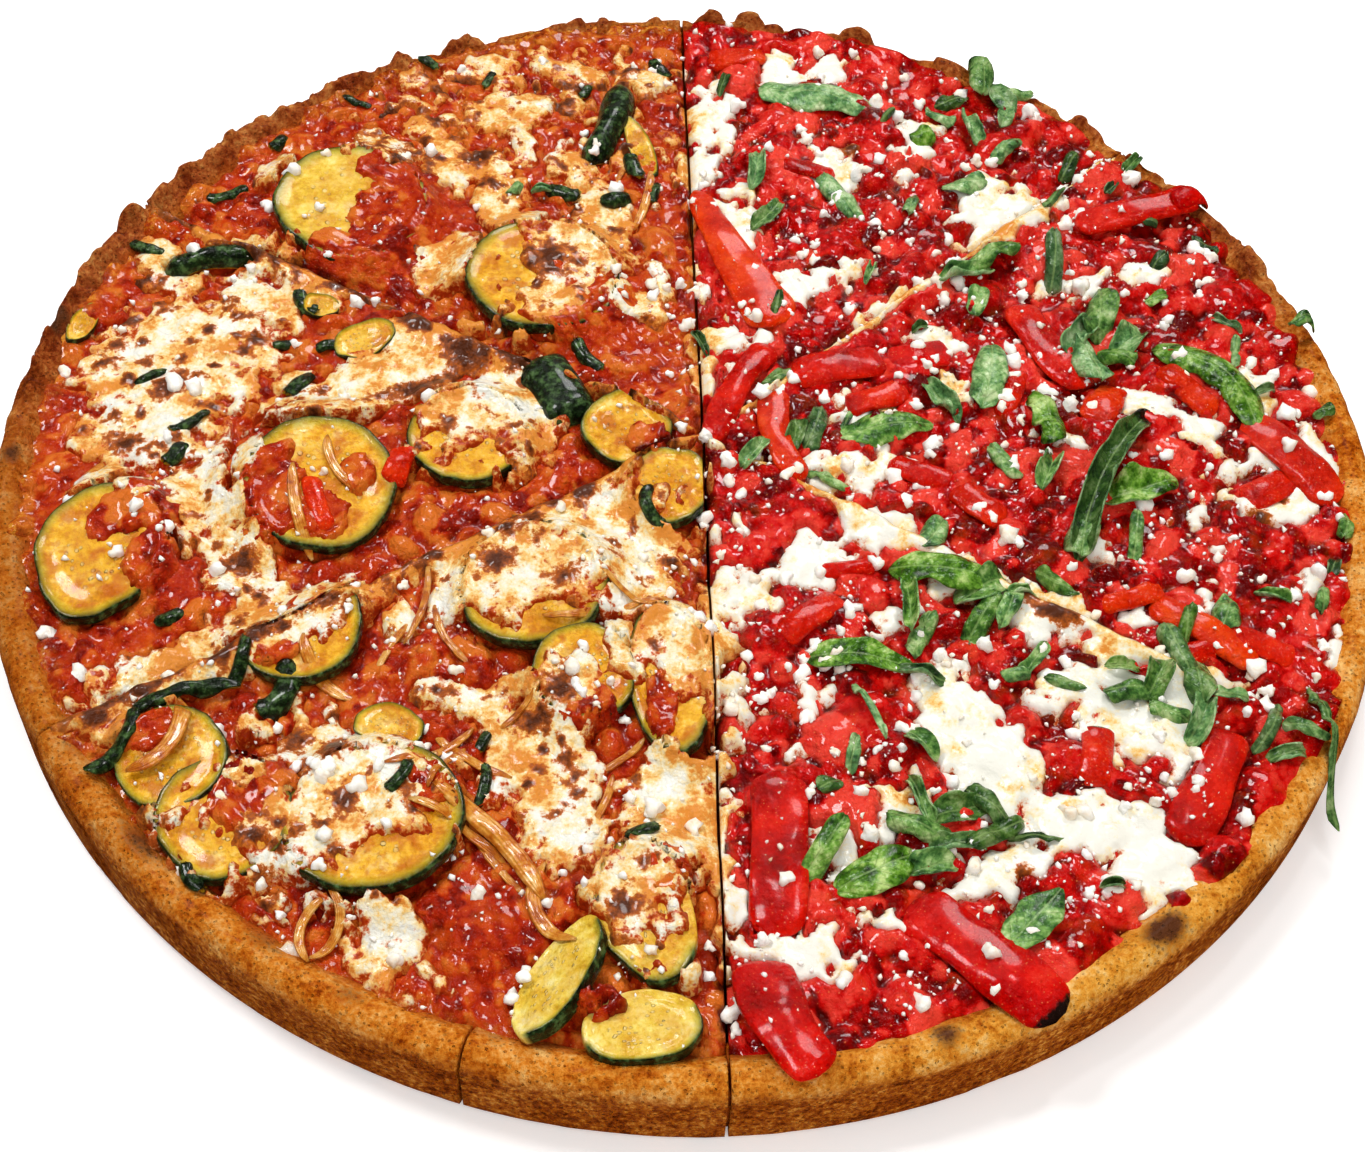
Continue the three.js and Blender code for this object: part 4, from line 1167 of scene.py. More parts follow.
def disc(long, wide, thick, bow, seed, skin=None):
    """Points, faces and marks of a courgette slice. skin gives the middle and half width of the arc that has skin."""
    n = 72
    angles = np.arange(n) / n * math.tau
    top = [(0.09 * k, 1.0) for k in range(1, 11)]
    edge = [(0.955, 1.0), (0.985, 0.92), (1.0, 0.70), (1.005, 0.3), (1.005, -0.3), (0.99, -0.75), (0.95, -1.0)]
    low = [(0.8, -1.0), (0.5, -1.0), (0.2, -1.0)]
    rows = np.array(top + edge + low)
    share = np.repeat(rows[:, 0], n).reshape(-1, n)
    level_of = np.repeat(rows[:, 1], n).reshape(-1, n)
    circle = np.column_stack([np.cos(angles), np.sin(angles), np.zeros(n)])
    outline = 1 + 0.07 * grain(circle * 1.3, 1.0, seed) + 0.022 * grain(circle * 5, 1.0, seed + 1)
    x = share * np.cos(angles) * outline * long / 2
    y = share * np.sin(angles) * outline * wide / 2
    flat = np.column_stack([x.ravel(), y.ravel(), 0 * x.ravel()])
    sag = grain(flat, 0.32 * long, seed + 2, 2).reshape(x.shape)
    fine = 0.10 * grain(flat, 1.6, seed + 3, 2).reshape(x.shape)
    shrunk = 0.55 * np.exp(-(((share - 0.80) / 0.13) ** 2)) * (level_of > 0.8)
    z = level_of * thick / 2 + bow * share**2 + sag * share + (fine - shrunk) * (level_of > 0.8)
    points = np.column_stack([x.ravel(), y.ravel(), z.ravel()])
    centre = np.array([[0, 0, thick / 2], [0, 0, -thick / 2]])
    count = len(points)
    j = np.arange(n)
    after = (j + 1) % n
    walls = [
        np.stack([k * n + j, (k + 1) * n + j, (k + 1) * n + after, k * n + after], 1)
        for k in range(len(rows) - 1)
    ]
    cap = np.stack([np.full(n, count), j, after], 1)
    last = (len(rows) - 1) * n
    under = np.stack([np.full(n, count + 1), last + after, last + j], 1)
    has_skin = np.ones(n)
    if skin is not None:
        away = np.abs((np.degrees(angles) - skin[0] + 180) % 360 - 180)
        has_skin = 1 - smooth_step(away, skin[1] - 4, skin[1] + 4)
    skin_mark = np.clip(smooth_step(share, 0.93, 0.975) * has_skin, 0, 1)
    ring = np.concatenate([share.ravel(), [0, 0]])
    plan = np.column_stack([share.ravel() * np.tile(circle[:, k], len(rows)) for k in (0, 1)])
    plan = np.vstack([plan, np.zeros((2, 2))])
    marks = {
        "ring": ring,
        "skin": np.concatenate([skin_mark.ravel(), [0, 0]]),
        "disc": np.column_stack([plan, np.full(len(plan), seed * 0.37)]),
        "rind": np.concatenate([(smooth_step(share, 0.8, 0.93) * has_skin).ravel(), [0, 0]]),
    }
    return np.vstack([points, centre]), walls + [cap, under], marks


def zucchini_colours(tree):
    place = add(tree, "ShaderNodeAttribute", {"attribute_name": "disc"}).outputs["Vector"]
    ring, skin, rind = mark(tree, "ring"), mark(tree, "skin"), mark(tree, "rind")
    wide = noise(tree, 8, 3)
    fine = noise(tree, 1.4, 4, 0.65)
    tone = plus(tree, times(tree, wide, 0.65), times(tree, fine, 0.4))
    flesh = ramp(tree, tone, (0.34, "#ae5a00"), (0.46, "#da8e06"), (0.57, "#eeb222"), (0.74, "#f8dc84"))
    young = ramp(tree, tone, (0.34, "#c49620"), (0.46, "#e6c03e"), (0.57, "#f4dc70"), (0.74, "#fcf2c0"))
    flesh = mix(tree, mark(tree, "young"), flesh, young)
    seeds = add(tree, "ShaderNodeTexVoronoi", Vector=place, Scale=8.5).outputs["Distance"]
    seed_ring = times(tree, band(tree, ring, 0.15, 0.28), band(tree, ring, 0.66, 0.5))
    seed_here = times(tree, band(tree, seeds, 0.32, 0.2), seed_ring)
    colour = mix(tree, times(tree, seed_ring, 0.35), flesh, "#dba02a")
    colour = mix(tree, times(tree, seed_here, 0.55), colour, "#f6e2a0")
    oily = band(tree, noise(tree, 6, 3, seed=0.7), 0.47, 0.64)
    ripe = minus(tree, 1.0, times(tree, mark(tree, "young"), 0.75))
    colour = mix(tree, times(tree, times(tree, oily, 0.7), ripe), colour, "#b8480c")
    film = band(tree, noise(tree, 2.4, 4, 0.65, seed=1.4), 0.52, 0.62)
    colour = mix(tree, times(tree, times(tree, film, 0.5), ripe), colour, "#c4681a")
    colour = mix(tree, times(tree, rind, 0.65), colour, "#a09a20")
    dark = ramp(tree, noise(tree, 2.2, 4, 0.6, seed=0.2), (0.38, "#0a1006"), (0.52, "#1b2c12"), (0.66, "#4a6636"))
    colour = mix(tree, skin, colour, dark)
    rough = ramp(tree, wide, (0.3, "#606060"), (0.7, "#909090"))
    return colour, rough, bumps(tree, (seed_here, 0.5), (noise(tree, 2.2, 3), 1.0), (fine, 0.4))


zucchini_finish = finish_of("roasted_courgette", zucchini_colours, specular=0.15, coat=0.3, coat_rough=0.1)

# For each disc: its long and wide sizes, turn, lean and the side it leans up towards, and the arc that still has
# its skin, where it is a half slice.
DISCS = {
    "zucchini_01": dict(long=43, lean=5, towards=160, young=0.8),
    "zucchini_03": dict(long=42, lean=4, towards=190),
    "zucchini_06": dict(long=23, lean=8, towards=120),
    "zucchini_07": dict(long=23, lean=6, towards=80),
    "zucchini_08": dict(long=41, wide=38, turn=80, lean=9, towards=120),
    "zucchini_09": dict(long=40, wide=33, turn=78, lean=5, towards=110),
    "zucchini_10": dict(long=31, lean=3, towards=90),
    "zucchini_11": dict(long=37, lean=5, towards=20),
    "zucchini_12": dict(long=25, lean=10, towards=80),
    "zucchini_13": dict(long=44, wide=21, turn=-80, lean=6, towards=0),
    "zucchini_14": dict(long=30, lean=3, towards=0),
    "zucchini_15": dict(long=27, lean=9, towards=30),
    "zucchini_16": dict(long=31, lean=4, towards=120),
    "zucchini_17": dict(long=40, lean=5, towards=-40),
    "zucchini_18": dict(long=36, wide=22, turn=103, lean=6, towards=0, skin=(110, 120), young=0.5),
    "zucchini_19": dict(long=32, wide=15, turn=62, lean=27, towards=-24, skin=(-90, 80), young=1.0),
    "zucchini_20": dict(long=26, wide=17, turn=10, lean=6, towards=-90, skin=(-70, 95), young=0.9),
}


def middle_of(node):
    low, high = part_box(node)
    return np.array((low + high) / 2) / MM


def clear_of_cuts(mesh, i, margin=0.5):
    """Trims a mesh to the two cuts of slice i and closes the trimmed sides."""
    shell = bmesh.new()
    shell.from_mesh(mesh)
    for cut, side in ((CUTS[i], 1), (CUTS[(i + 1) % len(CUTS)], -1)):
        c, s = unit(cut)
        outward = Vector((s, -c, 0)) * side
        at = Vector((*HUB, 0)) * MM - outward * (KERF / 2 + margin) * MM
        everything = shell.verts[:] + shell.edges[:] + shell.faces[:]
        trimmed = bmesh.ops.bisect_plane(shell, geom=everything, plane_co=at, plane_no=outward, clear_outer=True)
        edges = [e for e in trimmed["geom_cut"] if isinstance(e, bmesh.types.BMEdge)]
        if edges:
            bmesh.ops.holes_fill(shell, edges=edges)
    bmesh.ops.recalc_face_normals(shell, faces=shell.faces)
    shell.to_mesh(mesh)
    shell.free()


DISC_THICK = 4.4
for number, (node, spec) in enumerate(DISCS.items()):
    long, wide = spec["long"], spec.get("wide", spec["long"])
    points, faces, marks = disc(long, wide, DISC_THICK, 0.7, 60 + 7 * number, spec.get("skin"))
    centre = middle_of(node)
    points = points @ lean_matrix(spec.get("turn", 0), spec["lean"], spec["towards"]).T + centre
    marks["young"] = np.full(len(points), spec.get("young", 0.1))
    made = piece("courgette_" + node[-2:], points, faces, zucchini_finish, marks)
    clear_of_cuts(made.data, int(slice_at(centre[0], centre[1])))
    hand_over(made, "zucchini", node)
print(len(DISCS), "courgette discs")

# %% [markdown]
# ## Strips
# Pepper strips, curls of courgette skin and onion threads share one form: a thin section swept along an arc. Its
# middle arches up, its section is domed on the outside, and its ends are rounded off. `strip` returns it with marks
# for how far along and across each point lies.


# %% Swept strips
def strip(long, wide, thick, bend=0.0, arch=1.0, cup=1.6, seed=0, ends=0.5, taper=0.0, along=36, across=10):
    t = np.linspace(0, 1, along)
    heading = np.radians(bend) * (t - 0.5)
    if bend:
        radius = long / math.radians(bend)
        middle = np.column_stack([radius * np.sin(heading), radius * (1 - np.cos(heading))])
    else:
        middle = np.column_stack([long * (t - 0.5), 0 * t])
    side = np.column_stack([-np.sin(heading), np.cos(heading)])
    rounding = np.clip(1 - ((np.abs(2 * t - 1) - (1 - ends)) / ends).clip(0, 1) ** 3 * 0.75, 0, 1)
    wobble = 1 + 0.15 * grain(np.column_stack([t * long, 0 * t, 0 * t + seed]), 0.25 * long + 3, seed)
    width = wide / 2 * rounding * wobble * (1 - taper * (1 - t))
    around = np.arange(2 * across) / (2 * across) * math.tau
    u = np.cos(around)
    v = np.sin(around)
    u = np.sign(u) * np.abs(u) ** 0.65
    v = np.sign(v) * np.abs(v) ** 0.6
    lift = arch * (1 - (2 * t - 1) ** 2)
    uu, ll = np.meshgrid(u, lift)
    vv = np.broadcast_to(v, uu.shape)
    over = uu * width[:, None]
    height = cup * (width / (wide / 2))[:, None] * (1 - uu**2) + vv * thick / 2 * rounding[:, None] + ll
    x = middle[:, :1] + side[:, :1] * over
    y = middle[:, 1:] + side[:, 1:] * over
    points = np.column_stack([x.ravel(), y.ravel(), height.ravel()])
    waves, pimples = grain(points, 0.5 * wide + 1.5, seed + 5), grain(points, 1.6, seed + 6)
    points[:, 2] += (0.25 + 0.03 * wide) * waves + 0.12 * pimples
    points[:, 2] += 0.03 * wide * grain(points * np.array([0.3, 1.0, 0.0]), 2.4, seed + 7)
    n = 2 * across
    j, k = np.meshgrid(np.arange(along - 1), np.arange(n), indexing="ij")
    a, b = (j * n + k).ravel(), (j * n + (k + 1) % n).ravel()
    skin = np.stack([a, b, b + n, a + n], 1)
    caps = [np.arange(n)[::-1][None], (along - 1) * n + np.arange(n)[None]]
    marks = {
        "along": np.repeat(t, n),
        "outer": np.clip(np.tile(v, along), -1, 1),
        "across": np.tile(np.abs(u), along),
    }
    return points, [skin] + caps, marks


def settle(points, centre, turn_degrees, lean=0.0, towards=0.0):
    """Turns and leans a shape, and puts the middle of its box at a point."""
    points = points @ lean_matrix(turn_degrees, lean, towards).T
    return points + centre - (points.min(0) + points.max(0)) / 2


# %% Crust strips that close each cut below the rim and stand in for the shade deep in the gap
batch = Batch()
for k, cut in enumerate(CUTS):
    way = unit(cut)
    far = -way @ HUB + math.sqrt((way @ HUB) ** 2 - HUB @ HUB + 169.5**2)
    points, faces, marks = strip(14, 1.1, 17, 0, 0, 0.05, 41 + k, 0.2, along=20, across=8)
    points = settle(points, np.array([*(HUB + way * far), 9.4]), cut)
    batch.take(points, faces, inner=marks["along"])
# painted shade: dark crust strips close each cut, hiding the floor, and stand in for the shade deep in the gap
hand_over(batch.made("crumbs_in_the_cuts", crust_finish), "crust")

# %% [markdown]
# ### Red pepper
# Roasted pepper has a tight, shining skin over soft flesh. It is deep red to orange red, dotted with tiny painted
# highlights, and the thin ends of some strips have charred black.


# %% Pepper strips
def pepper_colours(tree):
    fine, wide = noise(tree, 1.2, 4, 0.6), noise(tree, 9, 3)
    warm = mark(tree, "warm")
    tone = plus(tree, times(tree, wide, 0.7), times(tree, fine, 0.3))
    deep = ramp(tree, tone, (0.32, "#840000"), (0.46, "#b80402"), (0.60, "#d61006"), (0.80, "#e63a26"))
    orange = ramp(tree, tone, (0.30, "#bc1400"), (0.46, "#d82c04"), (0.60, "#e6480c"), (0.80, "#f08436"))
    colour = mix(tree, warm, deep, orange)
    inside = band(tree, mark(tree, "outer"), 0.0, -0.5)
    colour = mix(tree, times(tree, inside, 0.6), colour, "#e2552b")
    # painted highlights: tiny pale dots stand in for glints on the shining skin
    painted_glint_specks = band(tree, cells(tree, 1.1), 0.20, 0.10)
    colour = mix(tree, times(tree, painted_glint_specks, 0.35), colour, "#f2a060")
    burnt = freckled(tree, mark(tree, "char"), fine, 0.8)
    colour = mix(tree, band(tree, burnt, 0.45, 0.75), colour, "#1c0f0b")
    rough = ramp(tree, wide, (0.3, "#3a3a3a"), (0.7, "#606060"))
    return colour, rough, bumps(tree, (noise(tree, 3.6, 3), 1.2), (noise(tree, 1.8, 2), 0.5), (fine, 0.5))


pepper_finish = finish_of("roasted_pepper", pepper_colours, specular=0.12, coat=0.22, coat_rough=0.11)

# For each strip: length, width, turn, bend, and where needed its lean, colour (1 is orange) and charred end.
PEPPERS = {
    "red_pepper_01": dict(long=57, wide=16, turn=-66, bend=12, warm=0.8, taper=0.6, cup=0.4),
    "red_pepper_02": dict(long=38, wide=8, turn=65, bend=-25, warm=0.1),
    "red_pepper_03": dict(long=34, wide=8, turn=-80, bend=55, warm=0.6),
    "red_pepper_04": dict(long=34, wide=11, turn=-61, bend=30, warm=0.1),
    "red_pepper_05": dict(long=36, wide=10, turn=12, bend=15, lean=9, towards=35, warm=0.1, char=0.9),
    "red_pepper_06": dict(long=34, wide=11, turn=-56, bend=-20, warm=0.3),
    "red_pepper_07": dict(long=30, wide=8, turn=-38, bend=-20, warm=1.0),
    "red_pepper_08": dict(long=43, wide=14, turn=88, bend=6, warm=0.05, cup=0.5),
    "red_pepper_09": dict(long=33, wide=14, turn=-67, bend=38, lean=12, towards=-80, warm=0.0, cup=1.0, char=0.4),
    "red_pepper_10": dict(long=42, wide=14, turn=-43, bend=-8, lean=5, towards=-50, warm=0.0, cup=0.8, char=0.95),
    "red_pepper_11": dict(long=35, wide=12, turn=63, bend=8, warm=0.1, cup=0.7),
}


def charred(along, amount):
    """How burnt a strip is along its length: most at its far end."""
    return amount * smooth_step(along, 0.88, 0.99)


for number, (node, spec) in enumerate(PEPPERS.items()):
    more = {"cup": spec.get("cup", 0.5), "taper": spec.get("taper", 0), "ends": 0.26}
    points, faces, marks = strip(spec["long"], spec["wide"], 2.2, spec["bend"], seed=200 + 9 * number, **more)
    centre = middle_of(node) + np.array([0, 0, 1.0])
    points = settle(points, centre, spec["turn"], spec.get("lean", 0), spec.get("towards", 0))
    marks["warm"] = np.full(len(points), spec["warm"])
    marks["char"] = charred(marks["along"], spec.get("char", 0))
    made = piece("pepper_strip_" + node[-2:], points, faces, pepper_finish, marks)
    hand_over(made, "red_pepper", node)
print(len(PEPPERS), "pepper strips")

# %% [markdown]
# ### Curls of courgette skin
# Three of the courgette pieces lie with their skin up, so they are strips with the skin as their outside.


# %% Courgette curls
def rind_marks(marks, seed):
    """Turns a strip's marks into those that the courgette finish reads."""
    outer, count = marks["outer"], len(marks["outer"])
    skin = smooth_step(outer, -0.35, 0.0)
    place = np.column_stack([marks["along"] * 2 - 1, marks["across"], np.full(count, seed * 0.31)])
    plain = {"young": np.zeros(count), "ring": np.full(count, 0.8)}
    return {**plain, "skin": skin, "rind": 0.3 * (1 - skin), "disc": place}


RINDS = {
    "zucchini_02": dict(long=35, wide=9, turn=76, bend=30),
    "zucchini_04": dict(long=25, wide=7, turn=15, bend=-30),
    "zucchini_05": dict(long=25, wide=15, turn=-60, bend=-20),
}
for number, (node, spec) in enumerate(RINDS.items()):
    points, faces, marks = strip(spec["long"], spec["wide"], 3.2, spec["bend"], 1.8, 2.6, 320 + number, 0.45)
    points = settle(points, middle_of(node) + np.array([0, 0, 1.2]), spec["turn"])
    made = piece("courgette_curl_" + node[-2:], points, faces, zucchini_finish, rind_marks(marks, number))
    hand_over(made, "zucchini", node)
print(len(RINDS), "curls of skin")

# %% [markdown]
# ## Ground
# The loose toppings have to rest on the bed. `GROUND` is a map of the highest surface everywhere: sauce, cheese or a
# large topping. `lay` drops a shape on it, lets it follow the slope a little as soft things do, and stops when its
# lowest parts touch.

# %% The ground under the loose toppings
GROUND = blank(0.0)
for i in SLICES:
    here = (MAP_SLICE == i) & (MAP_R < RADIUS)
    sauce_top, cheese_top, _ = surface(i, MAP_X[here], MAP_Y[here])
    GROUND[here] = np.maximum(sauce_top, cheese_top)
GROUND = np.maximum(GROUND, ROOF + 0.8)
RIM_BACK = 23.0 * smooth_step(MAP_R, RADIUS - 9.5, RADIUS - 7) * (MAP_R < RADIUS)
GROUND = np.maximum(GROUND, RIM_BACK)
SMOOTH_GROUND = soften(GROUND, 5)


def lay(points, x, y, turn_degrees=0.0, follow=0.7, sink=0.5, lean=0.0, towards=0.0):
    """Turns a shape, moves it to (x, y) and drops it on the bed."""
    points = points @ lean_matrix(turn_degrees, lean, towards).T
    points = points - (points.min(0) + points.max(0)) / 2 + np.array([x, y, 0])
    hill = read(SMOOTH_GROUND, points[:, 0], points[:, 1])
    points[:, 2] += follow * (hill - hill.mean())
    gap = points[:, 2] - read(GROUND, points[:, 0], points[:, 1])
    points[:, 2] -= np.quantile(gap, 0.06) + sink
    return points


# %% [markdown]
# ## Basil
# The basil went on after baking, in whole small leaves, torn leaves and cut shreds. A leaf is a thin sheet with a
# pale rib down its middle, side veins, rippled halves that fold up or curl down, and a lighter underside.


# %% Basil leaves
# Small leaves are drawn a little larger than they are listed.
LEAF_LONGER, LEAF_WIDER = 1.06, 1.12


def leaf(
    long, wide, seed, bend=0.0, curl=-35.0, arch=2.5, ruffle=0.7, blunt=0.0, twist=0.0, thick=0.45, along=22, across=9
):
    t, u = np.linspace(0, 1, along), np.linspace(-1, 1, across)
    tt, uu = np.meshgrid(t, u, indexing="ij")
    pointed = np.sin(np.pi * np.clip(tt, 0.0, 1) ** 0.8) ** 0.75
    cut_square = np.clip(1 - np.abs(2 * tt - 1) ** 10, 0.25, 1)
    outline = (1 - blunt) * pointed + blunt * cut_square
    edge_noise = grain(np.column_stack([(tt * long).ravel(), (uu * 2).ravel(), np.full(tt.size, seed)]), 5, seed)
    edge_points = np.column_stack([(tt * long).ravel(), np.sign(uu).ravel() * 9, np.full(tt.size, seed)])
    torn = grain(edge_points, 4.0, seed + 3)
    ragged = 1 + 0.3 * edge_noise.reshape(tt.shape) + (0.15 + 0.3 * blunt) * torn.reshape(tt.shape)
    half = wide / 2 * np.clip(outline * ragged, 0.03, None)
    away = uu * half
    bendiness = math.radians(curl if abs(curl) > 1 else 1) / (wide / 2)
    over = np.sin(bendiness * away) / bendiness
    up = (1 - np.cos(bendiness * away)) / bendiness
    heading = math.radians(bend) * (tt - 0.5)
    if abs(bend) > 1:
        radius = long / math.radians(bend)
        mid_x, mid_y = radius * np.sin(heading), radius * (1 - np.cos(heading))
    else:
        mid_x, mid_y = long * (tt - 0.5), 0 * tt
    tilt = math.radians(twist) * (tt - 0.5)
    over, up = over * np.cos(tilt) - up * np.sin(tilt), over * np.sin(tilt) + up * np.cos(tilt)
    x = mid_x - np.sin(heading) * over
    y = mid_y + np.cos(heading) * over
    flat = np.column_stack([x.ravel(), y.ravel(), np.full(x.size, 3.1 * seed)])
    z = up + arch * (1 - (2 * tt - 1) ** 2) - 0.35 * np.exp(-((away / 0.7) ** 2))
    z = z + ruffle * (0.4 + np.abs(uu)) * grain(flat, 0.45 * wide + 2, seed + 1, 2).reshape(x.shape)
    sheet = np.stack([x, y, z], 2)
    normal = np.cross(np.gradient(sheet, axis=0), np.gradient(sheet, axis=1))
    normal /= np.linalg.norm(normal, axis=2, keepdims=True) + 1e-9
    half_thick = normal * thick / 2
    points = np.concatenate([(sheet + half_thick).reshape(-1, 3), (sheet - half_thick).reshape(-1, 3)])
    j, k = np.meshgrid(np.arange(along - 1), np.arange(across - 1), indexing="ij")
    a = (j * across + k).ravel()
    top = np.stack([a, a + across, a + across + 1, a + 1], 1)
    n = along * across
    under = top[:, ::-1] + n
    rim = np.concatenate(
        [
            np.arange(across),
            np.arange(1, along) * across + across - 1,
            (along - 1) * across + np.arange(across - 2, -1, -1),
            np.arange(along - 2, 0, -1) * across,
        ]
    )
    after = np.roll(rim, -1)
    sides = np.stack([rim, after, after + n, rim + n], 1)
    place = np.column_stack([(tt * long).ravel(), away.ravel(), np.full(n, seed * 1.7)])
    marks = {
        "leaf": np.vstack([place, place]),
        "under": np.repeat([0.0, 1.0], n),
        "along": np.tile(tt.ravel(), 2),
    }
    return points, [top, under, sides], marks


def basil_colours(tree):
    place = add(tree, "ShaderNodeAttribute", {"attribute_name": "leaf"}).outputs["Vector"]
    parts = add(tree, "ShaderNodeSeparateXYZ", Vector=place)
    lengthwise, away = parts.outputs["X"], sums(tree, "ABSOLUTE", parts.outputs["Y"], 0)
    fine = noise(tree, 1.2, 4, 0.6)
    tone = plus(tree, times(tree, noise(tree, 4.5, 3), 0.75), times(tree, fine, 0.3))
    fresh = ramp(tree, tone, (0.37, "#142c04"), (0.47, "#3a6614"), (0.56, "#6e9c34"), (0.68, "#bcd480"))
    bruised = ramp(tree, tone, (0.28, "#0d1a0c"), (0.50, "#22391c"), (0.72, "#3f5f34"), (0.9, "#5d8050"))
    colour = mix(tree, mark(tree, "wilt"), fresh, bruised)
    pale = ramp(tree, tone, (0.37, "#2e5430"), (0.47, "#62945c"), (0.56, "#98be84"), (0.68, "#cfe0b8"))
    colour = mix(tree, times(tree, mark(tree, "pale"), 0.85), colour, pale)
    slanted = minus(tree, lengthwise, times(tree, away, 1.1))
    wave = sums(tree, "COSINE", times(tree, slanted, 2.6), 0)
    vein = band(tree, wave, 0.86, 0.99)
    rib = band(tree, away, 0.42, 0.16)
    colour = mix(tree, times(tree, vein, 0.12), colour, "#6f9a4c")
    colour = mix(tree, times(tree, rib, 0.35), colour, "#93b068")
    charred_tip = freckled(tree, mark(tree, "char"), fine, 0.7)
    colour = mix(tree, band(tree, charred_tip, 0.4, 0.75), colour, "#120d07")
    rough = ramp(tree, tone, (0.3, "#5c5c5c"), (0.7, "#8c8c8c"))
    groove = sums(tree, "MAXIMUM", vein, rib)
    return colour, rough, bumps(tree, (groove, -0.15), (noise(tree, 4.0, 2), 1.6), (noise(tree, 1.7, 2), 0.6))


basil_finish = finish_of("basil_leaf", basil_colours, specular=0.22, coat=0.15, coat_rough=0.2)

# The nine leaves that have CAD nodes: length, width, bend, curl, arch, and how blunt, wilted or pale each one is.
LEAVES = {
    "basil_01": dict(long=34, wide=13, turn=-14, bend=12, curl=-45, blunt=0.35, pale=0.8, ruffle=1.2),
    "basil_02": dict(long=42, wide=12, turn=-52, bend=-75, curl=-55, arch=4.5, blunt=0.45, wilt=0.1),
    "basil_03": dict(long=23, wide=9, turn=80, bend=20, curl=-40, blunt=0.4, pale=0.7, ruffle=1.2),
    "basil_04": dict(long=26, wide=10, turn=12, bend=12, curl=-30, blunt=0.3, pale=0.2),
    "basil_05": dict(
        long=56, wide=12, turn=64, bend=-30, curl=110, arch=5, blunt=0.4, wilt=0.8, ruffle=3.0, char=1.0
    ),
    "basil_06": dict(long=28, wide=10, turn=-10, bend=8, curl=-30, arch=4, blunt=0.35),
    "basil_07": dict(long=22, wide=12, turn=28, bend=10, curl=-30, arch=3.5),
    "basil_08": dict(long=22, wide=11, turn=48, bend=8, curl=-25, arch=2.5, pale=0.35),
    "basil_09": dict(long=28, wide=9, turn=-8, bend=-8, curl=30, arch=3, blunt=0.1),
}


def leaf_marks(marks, wilt=0.0, pale=0.0, char=0.0):
    count = len(marks["along"])
    return marks | {
        "wilt": np.full(count, wilt),
        "pale": np.clip(pale + 0.75 * marks["under"], 0, 1),
        "char": char * smooth_step(marks["along"], 0.80, 0.97),
    }


for number, (node, spec) in enumerate(LEAVES.items()):
    shape = {key: spec[key] for key in ("bend", "curl", "arch", "ruffle", "blunt") if key in spec}
    points, faces, marks = leaf(spec["long"], spec["wide"], 400 + number, along=34, across=13, **shape)
    centre = middle_of(node)
    points = lay(points, centre[0], centre[1], spec["turn"], follow=0.6)
    marks = leaf_marks(marks, spec.get("wilt", 0), spec.get("pale", 0), spec.get("char", 0))
    hand_over(piece("basil_leaf_" + node[-2:], points, faces, basil_finish, marks), "basil", node)

